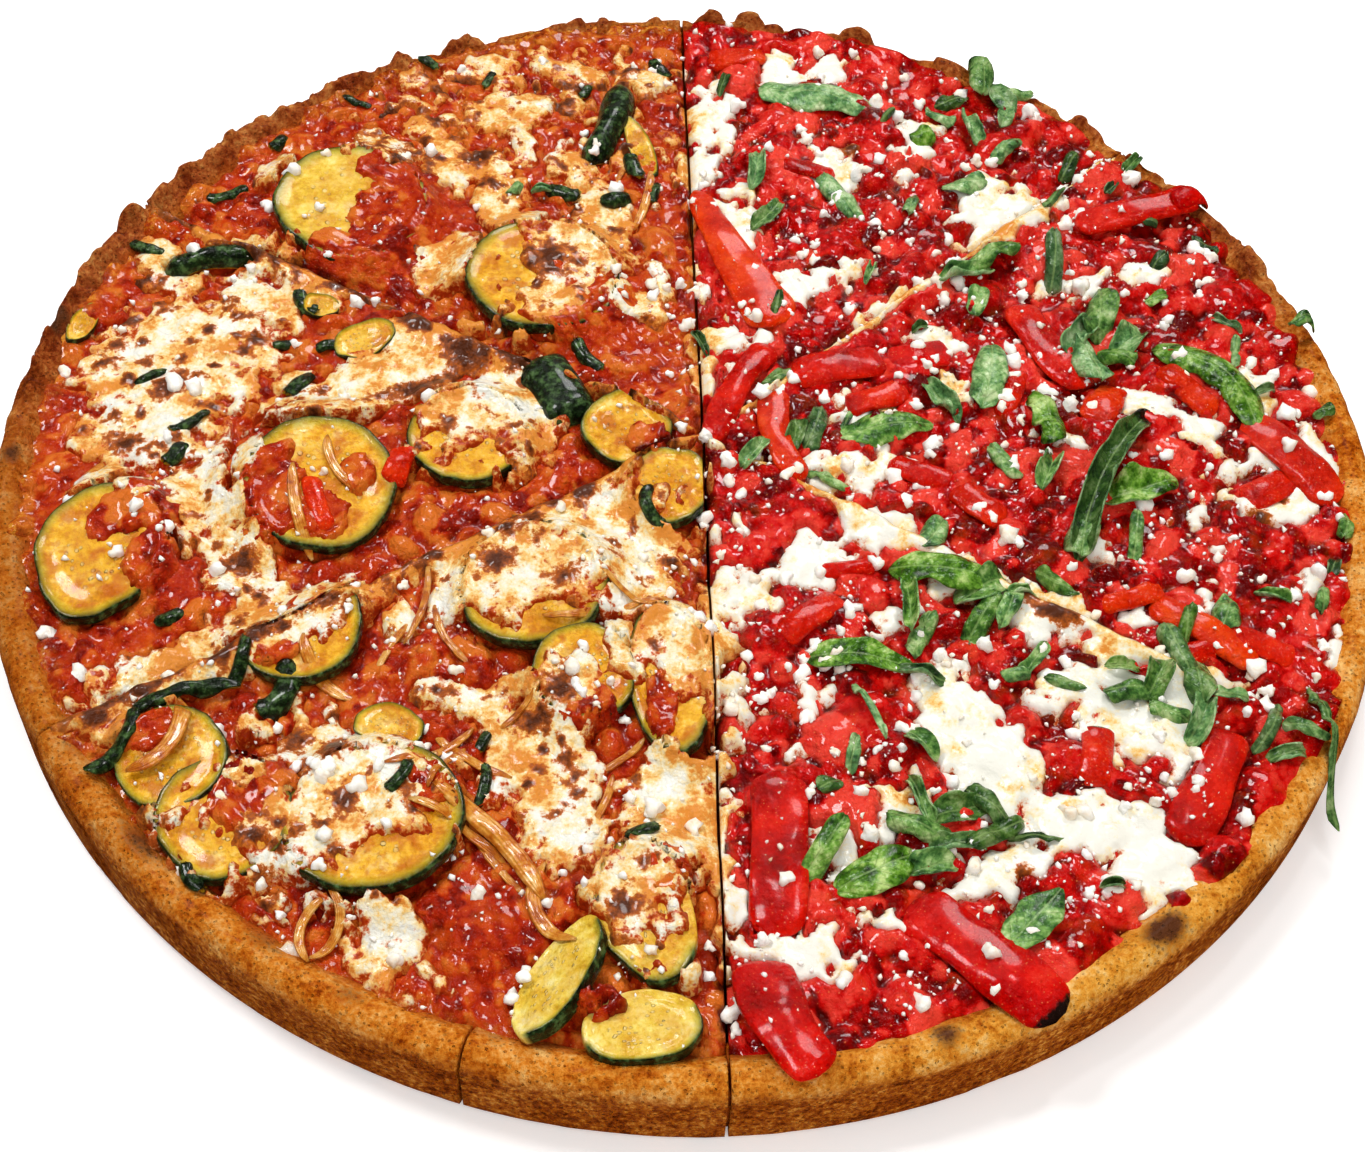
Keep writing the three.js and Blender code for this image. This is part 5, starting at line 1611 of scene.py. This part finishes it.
# %% Loose leaves and shreds: x, y, length, width, turn, bend, blunt, pale, wilt
SHREDS = [
    (87, 148, 17, 10, 95, 20, 0.0, 0.3, 0.3), (92, 140, 13, 7, -60, 10, 0.4, 0.5, 0.6),
    (97, 141, 9, 6, -10, 20, 0.5, 0.4, 0.2), (78, 140, 10, 5, 15, 30, 0.2, 0.0, 0.8),
    (83, 126, 13, 7, -70, 10, 0.4, 0.7, 0.1), (74, 132, 9, 5, -30, 0, 0.6, 0.6, 0.3),
    (93, 132, 11, 6, 70, 0, 0.4, 0.6, 0.4), (92, 117, 11, 7, 40, 10, 0.3, 0.7, 0.2),
    (68, 123, 7, 6, 30, 0, 0.7, 0.0, 0.0), (19, 107, 15, 8, 80, 12, 0.2, 0.8, 0.2),
    (43, 98, 19, 8, -60, 18, 0.5, 0.8, 0.1), (22, 89, 14, 6, 55, 14, 0.1, 0.2, 0.5),
    (63, 94, 9, 6, 80, 0, 0.2, 0.6, 0.3), (79, 103, 14, 7, 25, 20, 0.5, 0.7, 0.1),
    (76, 65, 17, 8, 20, 40, 0.5, 0.4, 0.1), (85, 72, 18, 6, 40, -20, 0.5, 0.2, 0.2),
    (79, 56, 10, 7, 80, 0, 0.3, 0.4, 0.0), (101, 70, 17, 9, 85, 10, 0.2, 0.3, 0.9),
    (112, 52, 19, 10, 80, 20, 0.2, 0.2, 0.3), (106, 44, 16, 10, 60, -20, 0.3, 0.9, 0.1),
    (108, 34, 16, 10, 110, 14, 0.1, 0.8, 0.3), (119, 42, 13, 9, 40, 10, 0.4, 0.6, 0.2),
    (115, 36, 10, 8, -30, 0, 0.5, 0.1, 0.2), (129, 60, 6, 4, 20, 0, 0.5, 0.1, 0.0),
    (67, 20, 15, 7, -60, 14, 0.4, 0.7, 0.1), (33, 10, 13, 8, 70, 20, 0.3, 0.2, 0.8),
    (28, 8, 9, 5, 80, 20, 0.3, 0.1, 0.6), (42, 14, 9, 3, 70, 10, 0.1, 0.6, 0.1),
    (94, 13, 18, 8, 95, 12, 0.4, 0.0, 0.0), (93, -4, 13, 8, 70, 8, 0.5, 0.3, 0.1),
    (82, -1, 12, 5, -50, 20, 0.4, 0.4, 0.2), (116, -11, 20, 11, 22, 16, 0.1, 0.0, 0.0),
    (113, -25, 14, 6, 80, 10, 0.2, 0.4, 0.1), (100, -24, 17, 8, 75, -10, 0.5, 0.3, 0.4),
    (17, 1, 11, 7, 60, 20, 0.2, 0.5, 0.2), (24, 28, 9, 4, 25, 10, 0.2, 0.2, 0.5),
    (3, 40, 10, 3, -70, 10, 0.1, 0.0, 0.9), (166, 46, 10, 6, 30, 0, 0.1, 0.3, 0.1),
    (168, 18, 5, 5, 10, 0, 0.6, 0.0, 0.7), (147, 50, 9, 4, -40, 0, 0.3, 0.2, 0.8),
    (148, 40, 10, 3, 80, 0, 0.1, 0.6, 0.2), (154, 26, 6, 3, 20, 0, 0.3, 0.1, 0.8),
    (36, -7, 12, 4, -25, 10, 0.1, 0.4, 0.2), (62, -25, 12, 7, 60, 14, 0.3, 0.6, 0.1),
    (54, -48, 21, 6, 92, 10, 0.0, 0.1, 0.0), (57, -57, 14, 6, 70, -20, 0.2, 0.3, 0.2),
    (73, -43, 14, 9, 30, 10, 0.4, 0.2, 0.2), (72, -52, 16, 10, 60, 10, 0.3, 0.1, 0.3),
    (79, -48, 15, 5, 70, 20, 0.3, 0.5, 0.0), (83, -43, 8, 4, 20, 0, 0.4, 0.4, 0.0),
    (92, -39, 12, 4, -35, 10, 0.2, 0.1, 0.3), (84, -63, 12, 4, 55, 14, 0.3, 0.3, 0.2),
    (79, -68, 7, 6, 10, 0, 0.6, 0.5, 0.1), (91, -70, 10, 3, -20, 20, 0.2, 0.2, 0.5),
    (56, -69, 12, 5, -10, 20, 0.2, 0.1, 0.8), (107, -73, 15, 7, 12, 10, 0.2, 0.2, 0.3),
    (113, -69, 12, 7, 60, 10, 0.4, 0.1, 0.4), (119, -60, 14, 9, -75, 10, 0.3, 0.3, 0.6),
    (123, -68, 14, 8, 95, 0, 0.4, 0.2, 0.5), (122, -80, 13, 9, 60, 20, 0.4, 0.7, 0.1),
    (115, -78, 10, 6, -20, 0, 0.5, 0.3, 0.2), (105, -66, 9, 4, 5, 0, 0.2, 0.0, 0.3),
    (122, -53, 9, 6, 80, 0, 0.5, 0.0, 0.5), (133, -48, 10, 7, 70, 0, 0.3, 0.4, 0.2),
    (145, -43, 9, 4, -35, 10, 0.2, 0.2, 0.0), (157, -44, 8, 4, 80, 0, 0.3, 0.4, 0.1),
    (130, -74, 8, 6, -10, 0, 0.4, 0.6, 0.1), (138, -82, 14, 6, 60, 30, 0.3, 0.2, 0.8),
    (146, -85, 11, 4, -15, 30, 0.3, 0.3, 0.5), (141, -90, 9, 6, 20, 0, 0.3, 0.2, 0.6),
    (152, -86, 31, 4, 98, -14, 0.1, 0.2, 0.6), (55, -89, 10, 6, -50, 14, 0.3, 0.3, 0.1),
    (43, -80, 18, 2.6, 112, 8, 0.2, 0.9, 0.0), (39, -91, 9, 3, 75, 10, 0.3, 0.9, 0.0),
    (54, -104, 15, 5, 105, 10, 0.1, 0.3, 0.2), (53, -111, 15, 8, -25, 10, 0.4, 0.3, 0.1),
    (63, -106, 14, 8, 20, 20, 0.3, 0.1, 0.5), (70, -105, 13, 8, -40, 10, 0.3, 0.1, 0.7),
    (71, -112, 16, 6, 30, 20, 0.3, 0.0, 0.7), (62, -115, 13, 8, 10, 10, 0.4, 0.2, 0.6),
    (80, -113, 12, 2, -5, 20, 0.1, 0.0, 0.9), (56, -121, 11, 7, 20, 0, 0.4, 0.4, 0.1),
    (31, -118, 17, 10, 55, 10, 0.1, 0.1, 0.0), (33, -100, 6, 4, 30, 0, 0.5, 0.1, 0.6),
    (96, -126, 6, 3, 10, 0, 0.3, 0.0, 0.8), (167, -20, 7, 5, 80, 0, 0.3, 0.2, 0.2),
    (162, -33, 5, 4, 60, 0, 0.6, 0.0, 1.0), (130, 87, 4, 3, 0, 0, 0.6, 0.0, 1.0),
    (131, 72, 5, 4, 40, 0, 0.6, 0.0, 1.0), (121, 102, 5, 4, 40, 0, 0.6, 0.0, 1.0),
    (110, 112, 9, 5, 60, 0, 0.4, 0.0, 0.9), (128, 112, 8, 4, 50, 0, 0.3, 0.2, 0.4),
    (104, 98, 10, 4, 55, 20, 0.2, 0.2, 0.5), (145, 80, 8, 3, -40, 0, 0.3, 0.0, 1.0),
    (50, 66, 10, 3, 75, 20, 0.2, 0.5, 0.0), (24, 54, 9, 3, 80, 0, 0.1, 0.0, 0.8),
    (63, 46, 5, 3, 30, 0, 0.4, 0.0, 0.8), (58, 130, 6, 3, 50, 0, 0.4, 0.0, 0.7),
    (10, 144, 8, 3, 70, 0, 0.2, 0.0, 0.9), (-42, 97, 6, 4, 20, 0, 0.5, 0.5, 0.3),
    (-50, 97, 6, 4, 60, 0, 0.5, 0.5, 0.3),
]
half_way = len(SHREDS) // 2
for number, rows in enumerate((SHREDS[:half_way], SHREDS[half_way:])):
    batch = Batch()
    for k, (x, y, long, wide, turned, bend, blunt, pale, wilt) in enumerate(rows):
        seed = 500 + 97 * number + k
        curl = (-80, 70, -120, -55, 110)[k % 5]
        arch = min(0.14 * long, 2.6)
        ruffle, twist = 1.5 + 0.24 * wide, (-70, 50, 25)[k % 3]
        points, faces, marks = leaf(LEAF_LONGER * long, LEAF_WIDER * wide, seed, bend, curl, arch, ruffle, 0.2 + blunt, twist)
        points = lay(points, x, y, turned, follow=0.8, lean=(0, 8, 14)[k % 3], towards=47 * k)
        batch.take(points, faces, **leaf_marks(marks, wilt, pale))
    hand_over(batch.made("basil_shreds_" + "ab"[number], basil_finish), "basil")
print(len(LEAVES) + len(SHREDS), "pieces of basil")

# %% [markdown]
# ## Onion
# Onion cooked until it was soft and amber lies on the courgette half in curved threads a few millimetres wide.


# %% Onion threads
def onion_colours(tree):
    fine = noise(tree, 1.5, 4, 0.6)
    tone = plus(tree, times(tree, noise(tree, 5, 3), 0.6), times(tree, fine, 0.45))
    colour = ramp(tree, tone, (0.34, "#8a3404"), (0.46, "#c0640c"), (0.58, "#de9634"), (0.76, "#f4d48c"))
    lines = sums(tree, "COSINE", times(tree, mark(tree, "across"), 16.0), 0)
    colour = mix(tree, times(tree, band(tree, lines, 0.5, 0.95), 0.2), colour, "#b5602a")
    return colour, None, bumps(tree, (lines, 0.05), (noise(tree, 2.2, 3), 0.45))


onion_finish = finish_of("soft_onion", onion_colours, rough=0.3, coat=0.6, coat_rough=0.1)

# x, y, length, width, turn, bend
ONION = [
    (-30, -132, 24, 5, -70, 110), (-52, -115, 24, 4, -30, -30), (-42, -122, 18, 3, -50, 20),
    (-60, -92, 22, 4, 35, 50), (-50, -93, 20, 4, -30, 40), (-55, -98, 16, 3, 60, -40), (-79, -138, 18, 4, 80, 120),
    (-83, -140, 16, 4, -100, 110), (-122, -91, 26, 6, 70, 130), (-66, -50, 22, 3, 80, 40),
    (-70, -62, 18, 3, 60, -40), (-57, -58, 20, 3, -60, 50), (-16, -45, 18, 3, -40, 40), (-9, -50, 16, 3, 20, -50),
    (-20, -105, 16, 3, 70, 30), (-15, -92, 12, 3, 40, 30), (-97, -24, 24, 5, -75, 25), (-88, -10, 18, 4, -60, 60),
    (-152, -10, 8, 5, 60, 80), (-86, -70, 20, 5, -50, 70), (-40, -80, 14, 3, 50, 40), (-13, 96, 24, 4, 80, 20),
    (-18, 108, 18, 3, 60, -20), (-29, -55, 12, 3, 10, 60),
]
batch = Batch()
for k, (x, y, long, wide, turned, bend) in enumerate(ONION):
    points, faces, marks = strip(1.1 * long, 0.62 * wide, 0.4, bend, 0.7, 0.3, 700 + k, 0.7, along=26, across=6)
    batch.take(lay(points, x, y, turned, follow=1.0, sink=0.6), faces, across=marks["across"])
hand_over(batch.made("onion_threads", onion_finish), "onion")
points, faces, marks = strip(38, 4.5, 1.1, -35, 1.5, 0.8, 699, 0.6)
points = lay(points, *middle_of("onion_01")[:2], -46, follow=0.9, sink=0.3)
made = piece("onion_strip_01", points, faces, onion_finish, {"across": marks["across"]})
hand_over(made, "onion", "onion_01")
print(len(ONION) + 1, "onion threads")

# %% [markdown]
# ## Smaller pieces of courgette and pepper
# Between the large toppings lie offcuts: ends of skin, half hidden slices and short strips of pepper.

# %% Offcuts of courgette: x, y, length, width, turn, bend
PEEL = [
    (-131, 94, 12, 5, 25, 30), (-119, 115, 6, 5, 60, 20), (-16, 108, 10, 6, -70, 20), (-36, 97, 10, 7, -20, 20),
    (-21, 94, 8, 8, 20, 20), (-10, 99, 8, 3, 80, 0), (-9, 152, 9, 4, -50, 20), (-31, 141, 6, 3, 60, 0),
    (-104, 51, 10, 5, -50, 40), (-109, 37, 5, 4, 0, 0), (-97, 36, 6, 4, 10, 0), (-103, 22, 10, 6, 55, 10),
    (-142, 23, 9, 3, 35, 0), (-130, 8, 12, 3, 40, 20), (-132, -3, 8, 6, 60, 20), (-150, 70, 10, 4, -20, 20),
    (-60, 146, 7, 3, 70, 0), (-78, 150, 7, 3, -30, 0), (-98, 134, 9, 3, -20, 0), (-133, -93, 20, 5, 60, 40),
    (-118, -80, 26, 5, 22, -20), (-107, -69, 14, 4, 80, 20), (-97, -77, 16, 9, 70, 60), (-66, -102, 10, 4, 60, 30),
    (-48, -89, 6, 3, 70, 0), (-47, -101, 12, 3, 85, 20), (-110, -128, 8, 4, -50, 40), (-10, -114, 8, 4, 20, 20),
    (-9, -20, 14, 4, -70, 60), (-126, -55, 7, 5, 20, 30), (-27, 34, 12, 5, -50, 20),
]
batch = Batch()
for k, (x, y, long, wide, turned, bend) in enumerate(PEEL):
    points, faces, marks = leaf(long, wide, 800 + k, 2 * bend, -90, 0.8, 0.7 + 0.1 * wide, 0.7, thick=1.0)
    under, place = marks["under"], marks["leaf"] * np.array([0.1, 0.2, 1.0])
    shades = {"young": 0 * under, "ring": 0.8 + 0 * under, "skin": 1 - under, "rind": under, "disc": place}
    batch.take(lay(points, x, y, turned, follow=0.8, sink=0.7), faces, **shades)
hand_over(batch.made("courgette_peel", zucchini_finish), "zucchini")

# %% Half hidden courgette slices: x, y, long, wide, turn, lean, towards
HIDDEN = [
    (-163, 41, 15, 6, 70, 10, 180), (-87, 38, 18, 11, 25, 8, 90), (-100, 50, 10, 7, 0, 10, 120),
    (-70, -86, 17, 11, 0, 14, 90), (-14, 117, 24, 7, -70, 10, 30),
]
batch = Batch()
for k, (x, y, long, wide, turned, lean, towards) in enumerate(HIDDEN):
    points, faces, marks = disc(long, wide, 3.6, 0.6, 850 + 5 * k)
    marks["young"] = np.full(len(points), 0.3)
    batch.take(lay(points, x, y, turned, follow=0.5, sink=3.0, lean=1.4 * lean, towards=towards), faces, **marks)
hand_over(batch.made("courgette_offcuts", zucchini_finish), "zucchini")

# %% Offcuts of pepper: x, y, length, width, turn, bend, warm, char
PEPPER_BITS = [
    (133, 26, 20, 8, -50, 14, 0.6, 0), (60, -4, 18, 7, -25, 20, 0.1, 0), (74, -15, 16, 8, -45, 10, 0.3, 0),
    (96, -90, 17, 8, 78, 10, 0.2, 1.0), (142, 95, 12, 7, 30, 20, 0.0, 1.0), (50, 20, 18, 8, 20, 10, 0.2, 0),
    (40, 31, 26, 11, 15, 10, 0.1, 0), (62, 36, 18, 9, 10, 20, 0.0, 0), (110, 20, 16, 9, 60, 10, 0.7, 0),
    (86, 24, 18, 6, 70, 10, 0.2, 0), (34, 108, 16, 6, -10, 0, 0.1, 0), (150, -8, 16, 9, 30, 20, 0.2, 0.4),
    (14, 156, 18, 8, 10, 10, 0.5, 0), (-93, -22, 17, 5, -70, 20, 0.6, 0.25), (-74, -8, 13, 6, 80, 10, 0.6, 0.3),
    (110, -44, 18, 6, 20, 10, 1.0, 0), (140, -57, 18, 8, -30, 10, 0.2, 0), (30, -52, 20, 8, 40, 10, 0.2, 0),
    (124, -60, 10, 6, 10, 0, 0.2, 0), (40, -36, 14, 5, 10, 10, 0.1, 0), (156, 62, 12, 6, -60, 10, 0.0, 0),
]
batch = Batch()
for k, (x, y, long, wide, turned, bend, warm, char) in enumerate(PEPPER_BITS):
    points, faces, marks = strip(long, wide, 1.9, bend, 0.8, 0.5, 900 + k, 0.25, along=22, across=8)
    marks["warm"] = np.full(len(points), warm)
    marks["char"] = charred(marks["along"], char)
    batch.take(lay(points, x, y, turned, follow=0.7, sink=1.3), faces, **marks)
hand_over(batch.made("pepper_offcuts", pepper_finish), "red_pepper")
print(len(PEEL) + len(HIDDEN) + len(PEPPER_BITS), "offcuts")

# %% [markdown]
# ## Feta
# Crumbled feta is scattered over everything: a few lumps, many smaller grains, and a fine dust. Geometry Nodes
# scatters them on a helper sheet that follows the ground, and the helper's `plenty` attribute says where there is
# more. Eight small crumb shapes and six large ones are enough, because each one is turned at random.


# %% Crumb shapes
def crumb(name, seed, detail, grains):
    """A small clump of rounded grains: from its middle, each point lies on the farthest of a few balls."""
    shell = bmesh.new()
    bmesh.ops.create_icosphere(shell, subdivisions=detail, radius=0.5)
    mesh = bpy.data.meshes.new(name)
    shell.to_mesh(mesh)
    shell.free()
    co = np.empty(len(mesh.vertices) * 3)
    mesh.vertices.foreach_get("co", co)
    way = co.reshape(-1, 3) * 2
    draw = np.random.default_rng(seed)
    reach = np.full(len(way), 0.2)
    for _ in range(grains):
        ball = draw.normal(size=3)
        ball *= draw.uniform(0.2, 0.36) / np.linalg.norm(ball)
        size = draw.uniform(0.14, 0.26)
        along = way @ ball
        gap = along**2 - ball @ ball + size**2
        reach = np.maximum(reach, np.where(gap > 0, along + np.sqrt(np.clip(gap, 0, None)), 0))
    co = way * (reach * (1 + 0.35 * grain(way, 0.8, seed, 2)))[:, None]
    mesh.vertices.foreach_set("co", co.astype(np.float32).ravel())
    mesh.polygons.foreach_set("use_smooth", np.full(len(mesh.polygons), True))
    return in_scene(name, mesh)


def envelope(step):
    """A sheet over the ground, with the density of feta as an attribute."""
    axis = np.arange(-172, 172.1, step)
    x, y = np.meshgrid(axis, axis)
    n = len(axis)
    z = read(GROUND, x, y) + 0.25
    j, k = np.meshgrid(np.arange(n - 1), np.arange(n - 1), indexing="ij")
    a = (j * n + k).ravel()
    faces = np.stack([a, a + 1, a + n + 1, a + n], 1)
    middle = np.hypot(x, y).ravel()[faces].max(1)
    faces = faces[middle < 170]
    mesh = bpy.data.meshes.new("envelope")
    points = np.column_stack([x.ravel(), y.ravel(), z.ravel()]) * MM
    mesh.from_pydata(points.tolist(), [], faces.tolist())
    plenty = mesh.attributes.new("plenty", "FLOAT", "POINT")
    plenty.data.foreach_set("value", read(PLENTY, x, y).astype(np.float32).ravel())
    return in_scene("envelope", mesh)


# Where feta fell thickly: x, y, half length, half width, strength.
FETA = [
    (35, 62, 20, 14, 1.0), (32, 78, 12, 10, 0.8), (118, 62, 24, 10, 1.0), (145, 76, 14, 12, 1.0),
    (44, 112, 16, 14, 0.9), (118, 110, 14, 12, 0.9), (66, 44, 10, 16, 0.8), (88, 92, 16, 12, 0.8),
    (28, 152, 18, 8, 0.5), (55, 82, 16, 12, 0.6), (12, 10, 12, 12, 0.8), (34, -10, 16, 12, 0.6),
    (30, -50, 22, 20, 0.9), (42, -96, 16, 10, 1.2), (96, -98, 20, 14, 1.0), (78, -122, 22, 10, 1.0),
    (46, -148, 14, 8, 1.0), (20, -144, 12, 8, 0.9), (128, -28, 16, 14, 0.8), (115, -88, 14, 14, 0.7),
    (146, -70, 12, 12, 0.6), (100, 20, 20, 12, 0.7), (148, 20, 16, 22, 0.9), (160, -15, 10, 12, 0.6),
    (60, -60, 24, 12, 0.6), (12, -70, 8, 30, 0.8), (-15, 55, 14, 10, 1.2), (-70, -55, 16, 12, 0.6),
    (-60, -75, 12, 8, 0.9), (-20, -75, 8, 10, 1.2), (-8, -35, 12, 10, 0.8), (-80, -105, 14, 8, 0.6),
    (-92, -18, 12, 12, 0.5), (-142, -28, 14, 14, 0.5), (-130, -5, 12, 10, 0.7), (-45, -130, 14, 12, 0.6),
    (-8, -112, 10, 12, 1.0), (-10, -150, 8, 6, 0.7), (-5, 148, 8, 8, 0.6), (-120, 55, 12, 10, 0.4),
    (-30, 95, 16, 16, 0.5),
]
PLENTY = np.where(MAP_COURGETTE, 0.07, 0.26) + 0.08 * cloud(9, 61)
for x, y, a, b, strength in FETA:
    rows, columns, dx, dy = window(x, y, 2.4 * max(a, b))
    PLENTY[rows, columns] += 0.8 * strength * np.exp(-1.4 * oval(dx, dy, a, b, 0) ** 2)
PLENTY = np.clip(PLENTY * (0.3 + 3.0 * np.clip(cloud(3.6, 62) - 0.15, 0, 1)), 0.015, 3.0)
PLENTY = PLENTY * smooth_step(RADIUS - MAP_R, 5, 12) * np.where(MAP_SLICE == 0, 0.7, 0.9)
PLENTY = PLENTY * (1 - 0.7 * smooth_step(cheese_cover, 0.1, 0.4) * ~MAP_COURGETTE)


# %% The scatter tree
def scatter_tree(crumbs, material):
    """A Geometry Nodes tree that replaces a helper sheet with crumbs lying on it."""
    tree = bpy.data.node_groups.new("feta_scatter", "GeometryNodeTree")
    sockets = tree.interface
    sockets.new_socket("Sheet", in_out="INPUT", socket_type="NodeSocketGeometry")
    for name, kind in (
        ("Most per square metre", "NodeSocketFloat"), ("Smallest", "NodeSocketFloat"),
        ("Largest", "NodeSocketFloat"), ("Seed", "NodeSocketInt"),
    ):
        sockets.new_socket(name, in_out="INPUT", socket_type=kind)
    sockets.new_socket("Crumbs", in_out="OUTPUT", socket_type="NodeSocketGeometry")
    given = tree.nodes.new("NodeGroupInput").outputs
    result = tree.nodes.new("NodeGroupOutput")

    plenty = tree.nodes.new("GeometryNodeInputNamedAttribute")
    plenty.data_type = "FLOAT"
    plenty.inputs["Name"].default_value = "plenty"
    density = tree.nodes.new("ShaderNodeMath")
    density.operation = "MULTIPLY"
    spread = tree.nodes.new("GeometryNodeDistributePointsOnFaces")
    shapes = tree.nodes.new("GeometryNodeJoinGeometry")
    for made in crumbs:
        info = tree.nodes.new("GeometryNodeObjectInfo")
        info.inputs["Object"].default_value = made
        info.inputs["As Instance"].default_value = True
        tree.links.new(info.outputs["Geometry"], shapes.inputs["Geometry"])
    put = tree.nodes.new("GeometryNodeInstanceOnPoints")
    put.inputs["Pick Instance"].default_value = True
    spin = tree.nodes.new("FunctionNodeRandomValue")
    spin.data_type = "FLOAT_VECTOR"
    spin.inputs["Max"].default_value = (math.tau, math.tau, math.tau)
    skew = tree.nodes.new("FunctionNodeRandomValue")
    skew.data_type = "FLOAT"
    skew.inputs[2].default_value = 0.0
    skew.inputs[3].default_value = 1.0
    power = tree.nodes.new("ShaderNodeMath")
    power.operation = "POWER"
    power.inputs[1].default_value = 2.2
    size = tree.nodes.new("ShaderNodeMapRange")
    real = tree.nodes.new("GeometryNodeRealizeInstances")
    coated = tree.nodes.new("GeometryNodeSetMaterial")
    coated.inputs["Material"].default_value = material

    join = tree.links.new
    join(given["Sheet"], spread.inputs["Mesh"])
    join(given["Most per square metre"], density.inputs[0])
    join(plenty.outputs["Attribute"], density.inputs[1])
    join(density.outputs[0], spread.inputs["Density"])
    join(given["Seed"], spread.inputs["Seed"])
    join(spread.outputs["Points"], put.inputs["Points"])
    join(shapes.outputs["Geometry"], put.inputs["Instance"])
    join(spin.outputs["Value"], put.inputs["Rotation"])
    join(given["Seed"], spin.inputs["Seed"])
    join(given["Seed"], skew.inputs["Seed"])
    join(skew.outputs[1], power.inputs[0])
    join(power.outputs[0], size.inputs["Value"])
    join(given["Smallest"], size.inputs["To Min"])
    join(given["Largest"], size.inputs["To Max"])
    join(size.outputs["Result"], put.inputs["Scale"])
    join(put.outputs["Instances"], real.inputs["Geometry"])
    join(real.outputs["Geometry"], coated.inputs["Geometry"])
    join(coated.outputs["Geometry"], result.inputs["Crumbs"])
    return tree


def feta_colours(tree):
    tone = plus(tree, times(tree, noise(tree, 9, 2), 0.7), times(tree, noise(tree, 1.5, 3), 0.4))
    colour = ramp(tree, tone, (0.32, "#f2cfa6"), (0.44, "#fbefda"), (0.58, "#fffdf6"))
    return colour, None, bumps(tree, (noise(tree, 0.8, 3), 0.25))


feta_finish = finish_of("feta", feta_colours, rough=0.6, specular=0.3)
fine_crumbs = [crumb("crumb_" + str(k), 1000 + k, 1, 3) for k in range(8)]
large_crumbs = [crumb("lump_" + str(k), 1100 + k, 2, 9) for k in range(6)]
sheet = envelope(1.5)


def scatter(name, tree, most, smallest, largest, seed):
    """Runs the tree on the helper sheet and keeps the result as a plain mesh."""
    modifier = sheet.modifiers.new("scatter", "NODES")
    modifier.node_group = tree
    wanted = {"Most per square metre": most, "Smallest": smallest * MM, "Largest": largest * MM, "Seed": seed}
    for socket in tree.interface.items_tree:
        if socket.name in wanted and socket.in_out == "INPUT":
            modifier[socket.identifier] = wanted[socket.name]
    deps = bpy.context.evaluated_depsgraph_get()
    mesh = bpy.data.meshes.new_from_object(sheet.evaluated_get(deps), preserve_all_data_layers=True, depsgraph=deps)
    sheet.modifiers.remove(modifier)
    mesh.name = name
    made = bpy.data.objects.new(name, mesh)
    scene.collection.objects.link(made)
    print(name, len(mesh.polygons), "faces")
    return hand_over(made, "cheese")


fine_tree, large_tree = scatter_tree(fine_crumbs, feta_finish), scatter_tree(large_crumbs, feta_finish)
scatter("feta_dust", fine_tree, 40000, 0.6, 1.5, 3)
scatter("feta_grains", fine_tree, 90000, 1.4, 3.4, 4)
scatter("feta_lumps", large_tree, 24000, 3.0, 6.6, 5)
for helper in fine_crumbs + large_crumbs + [sheet]:
    bpy.data.objects.remove(helper)

# %% [markdown]
# ## Finish
# The last step measures the size of this model.

# %% Sizes
low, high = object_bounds()
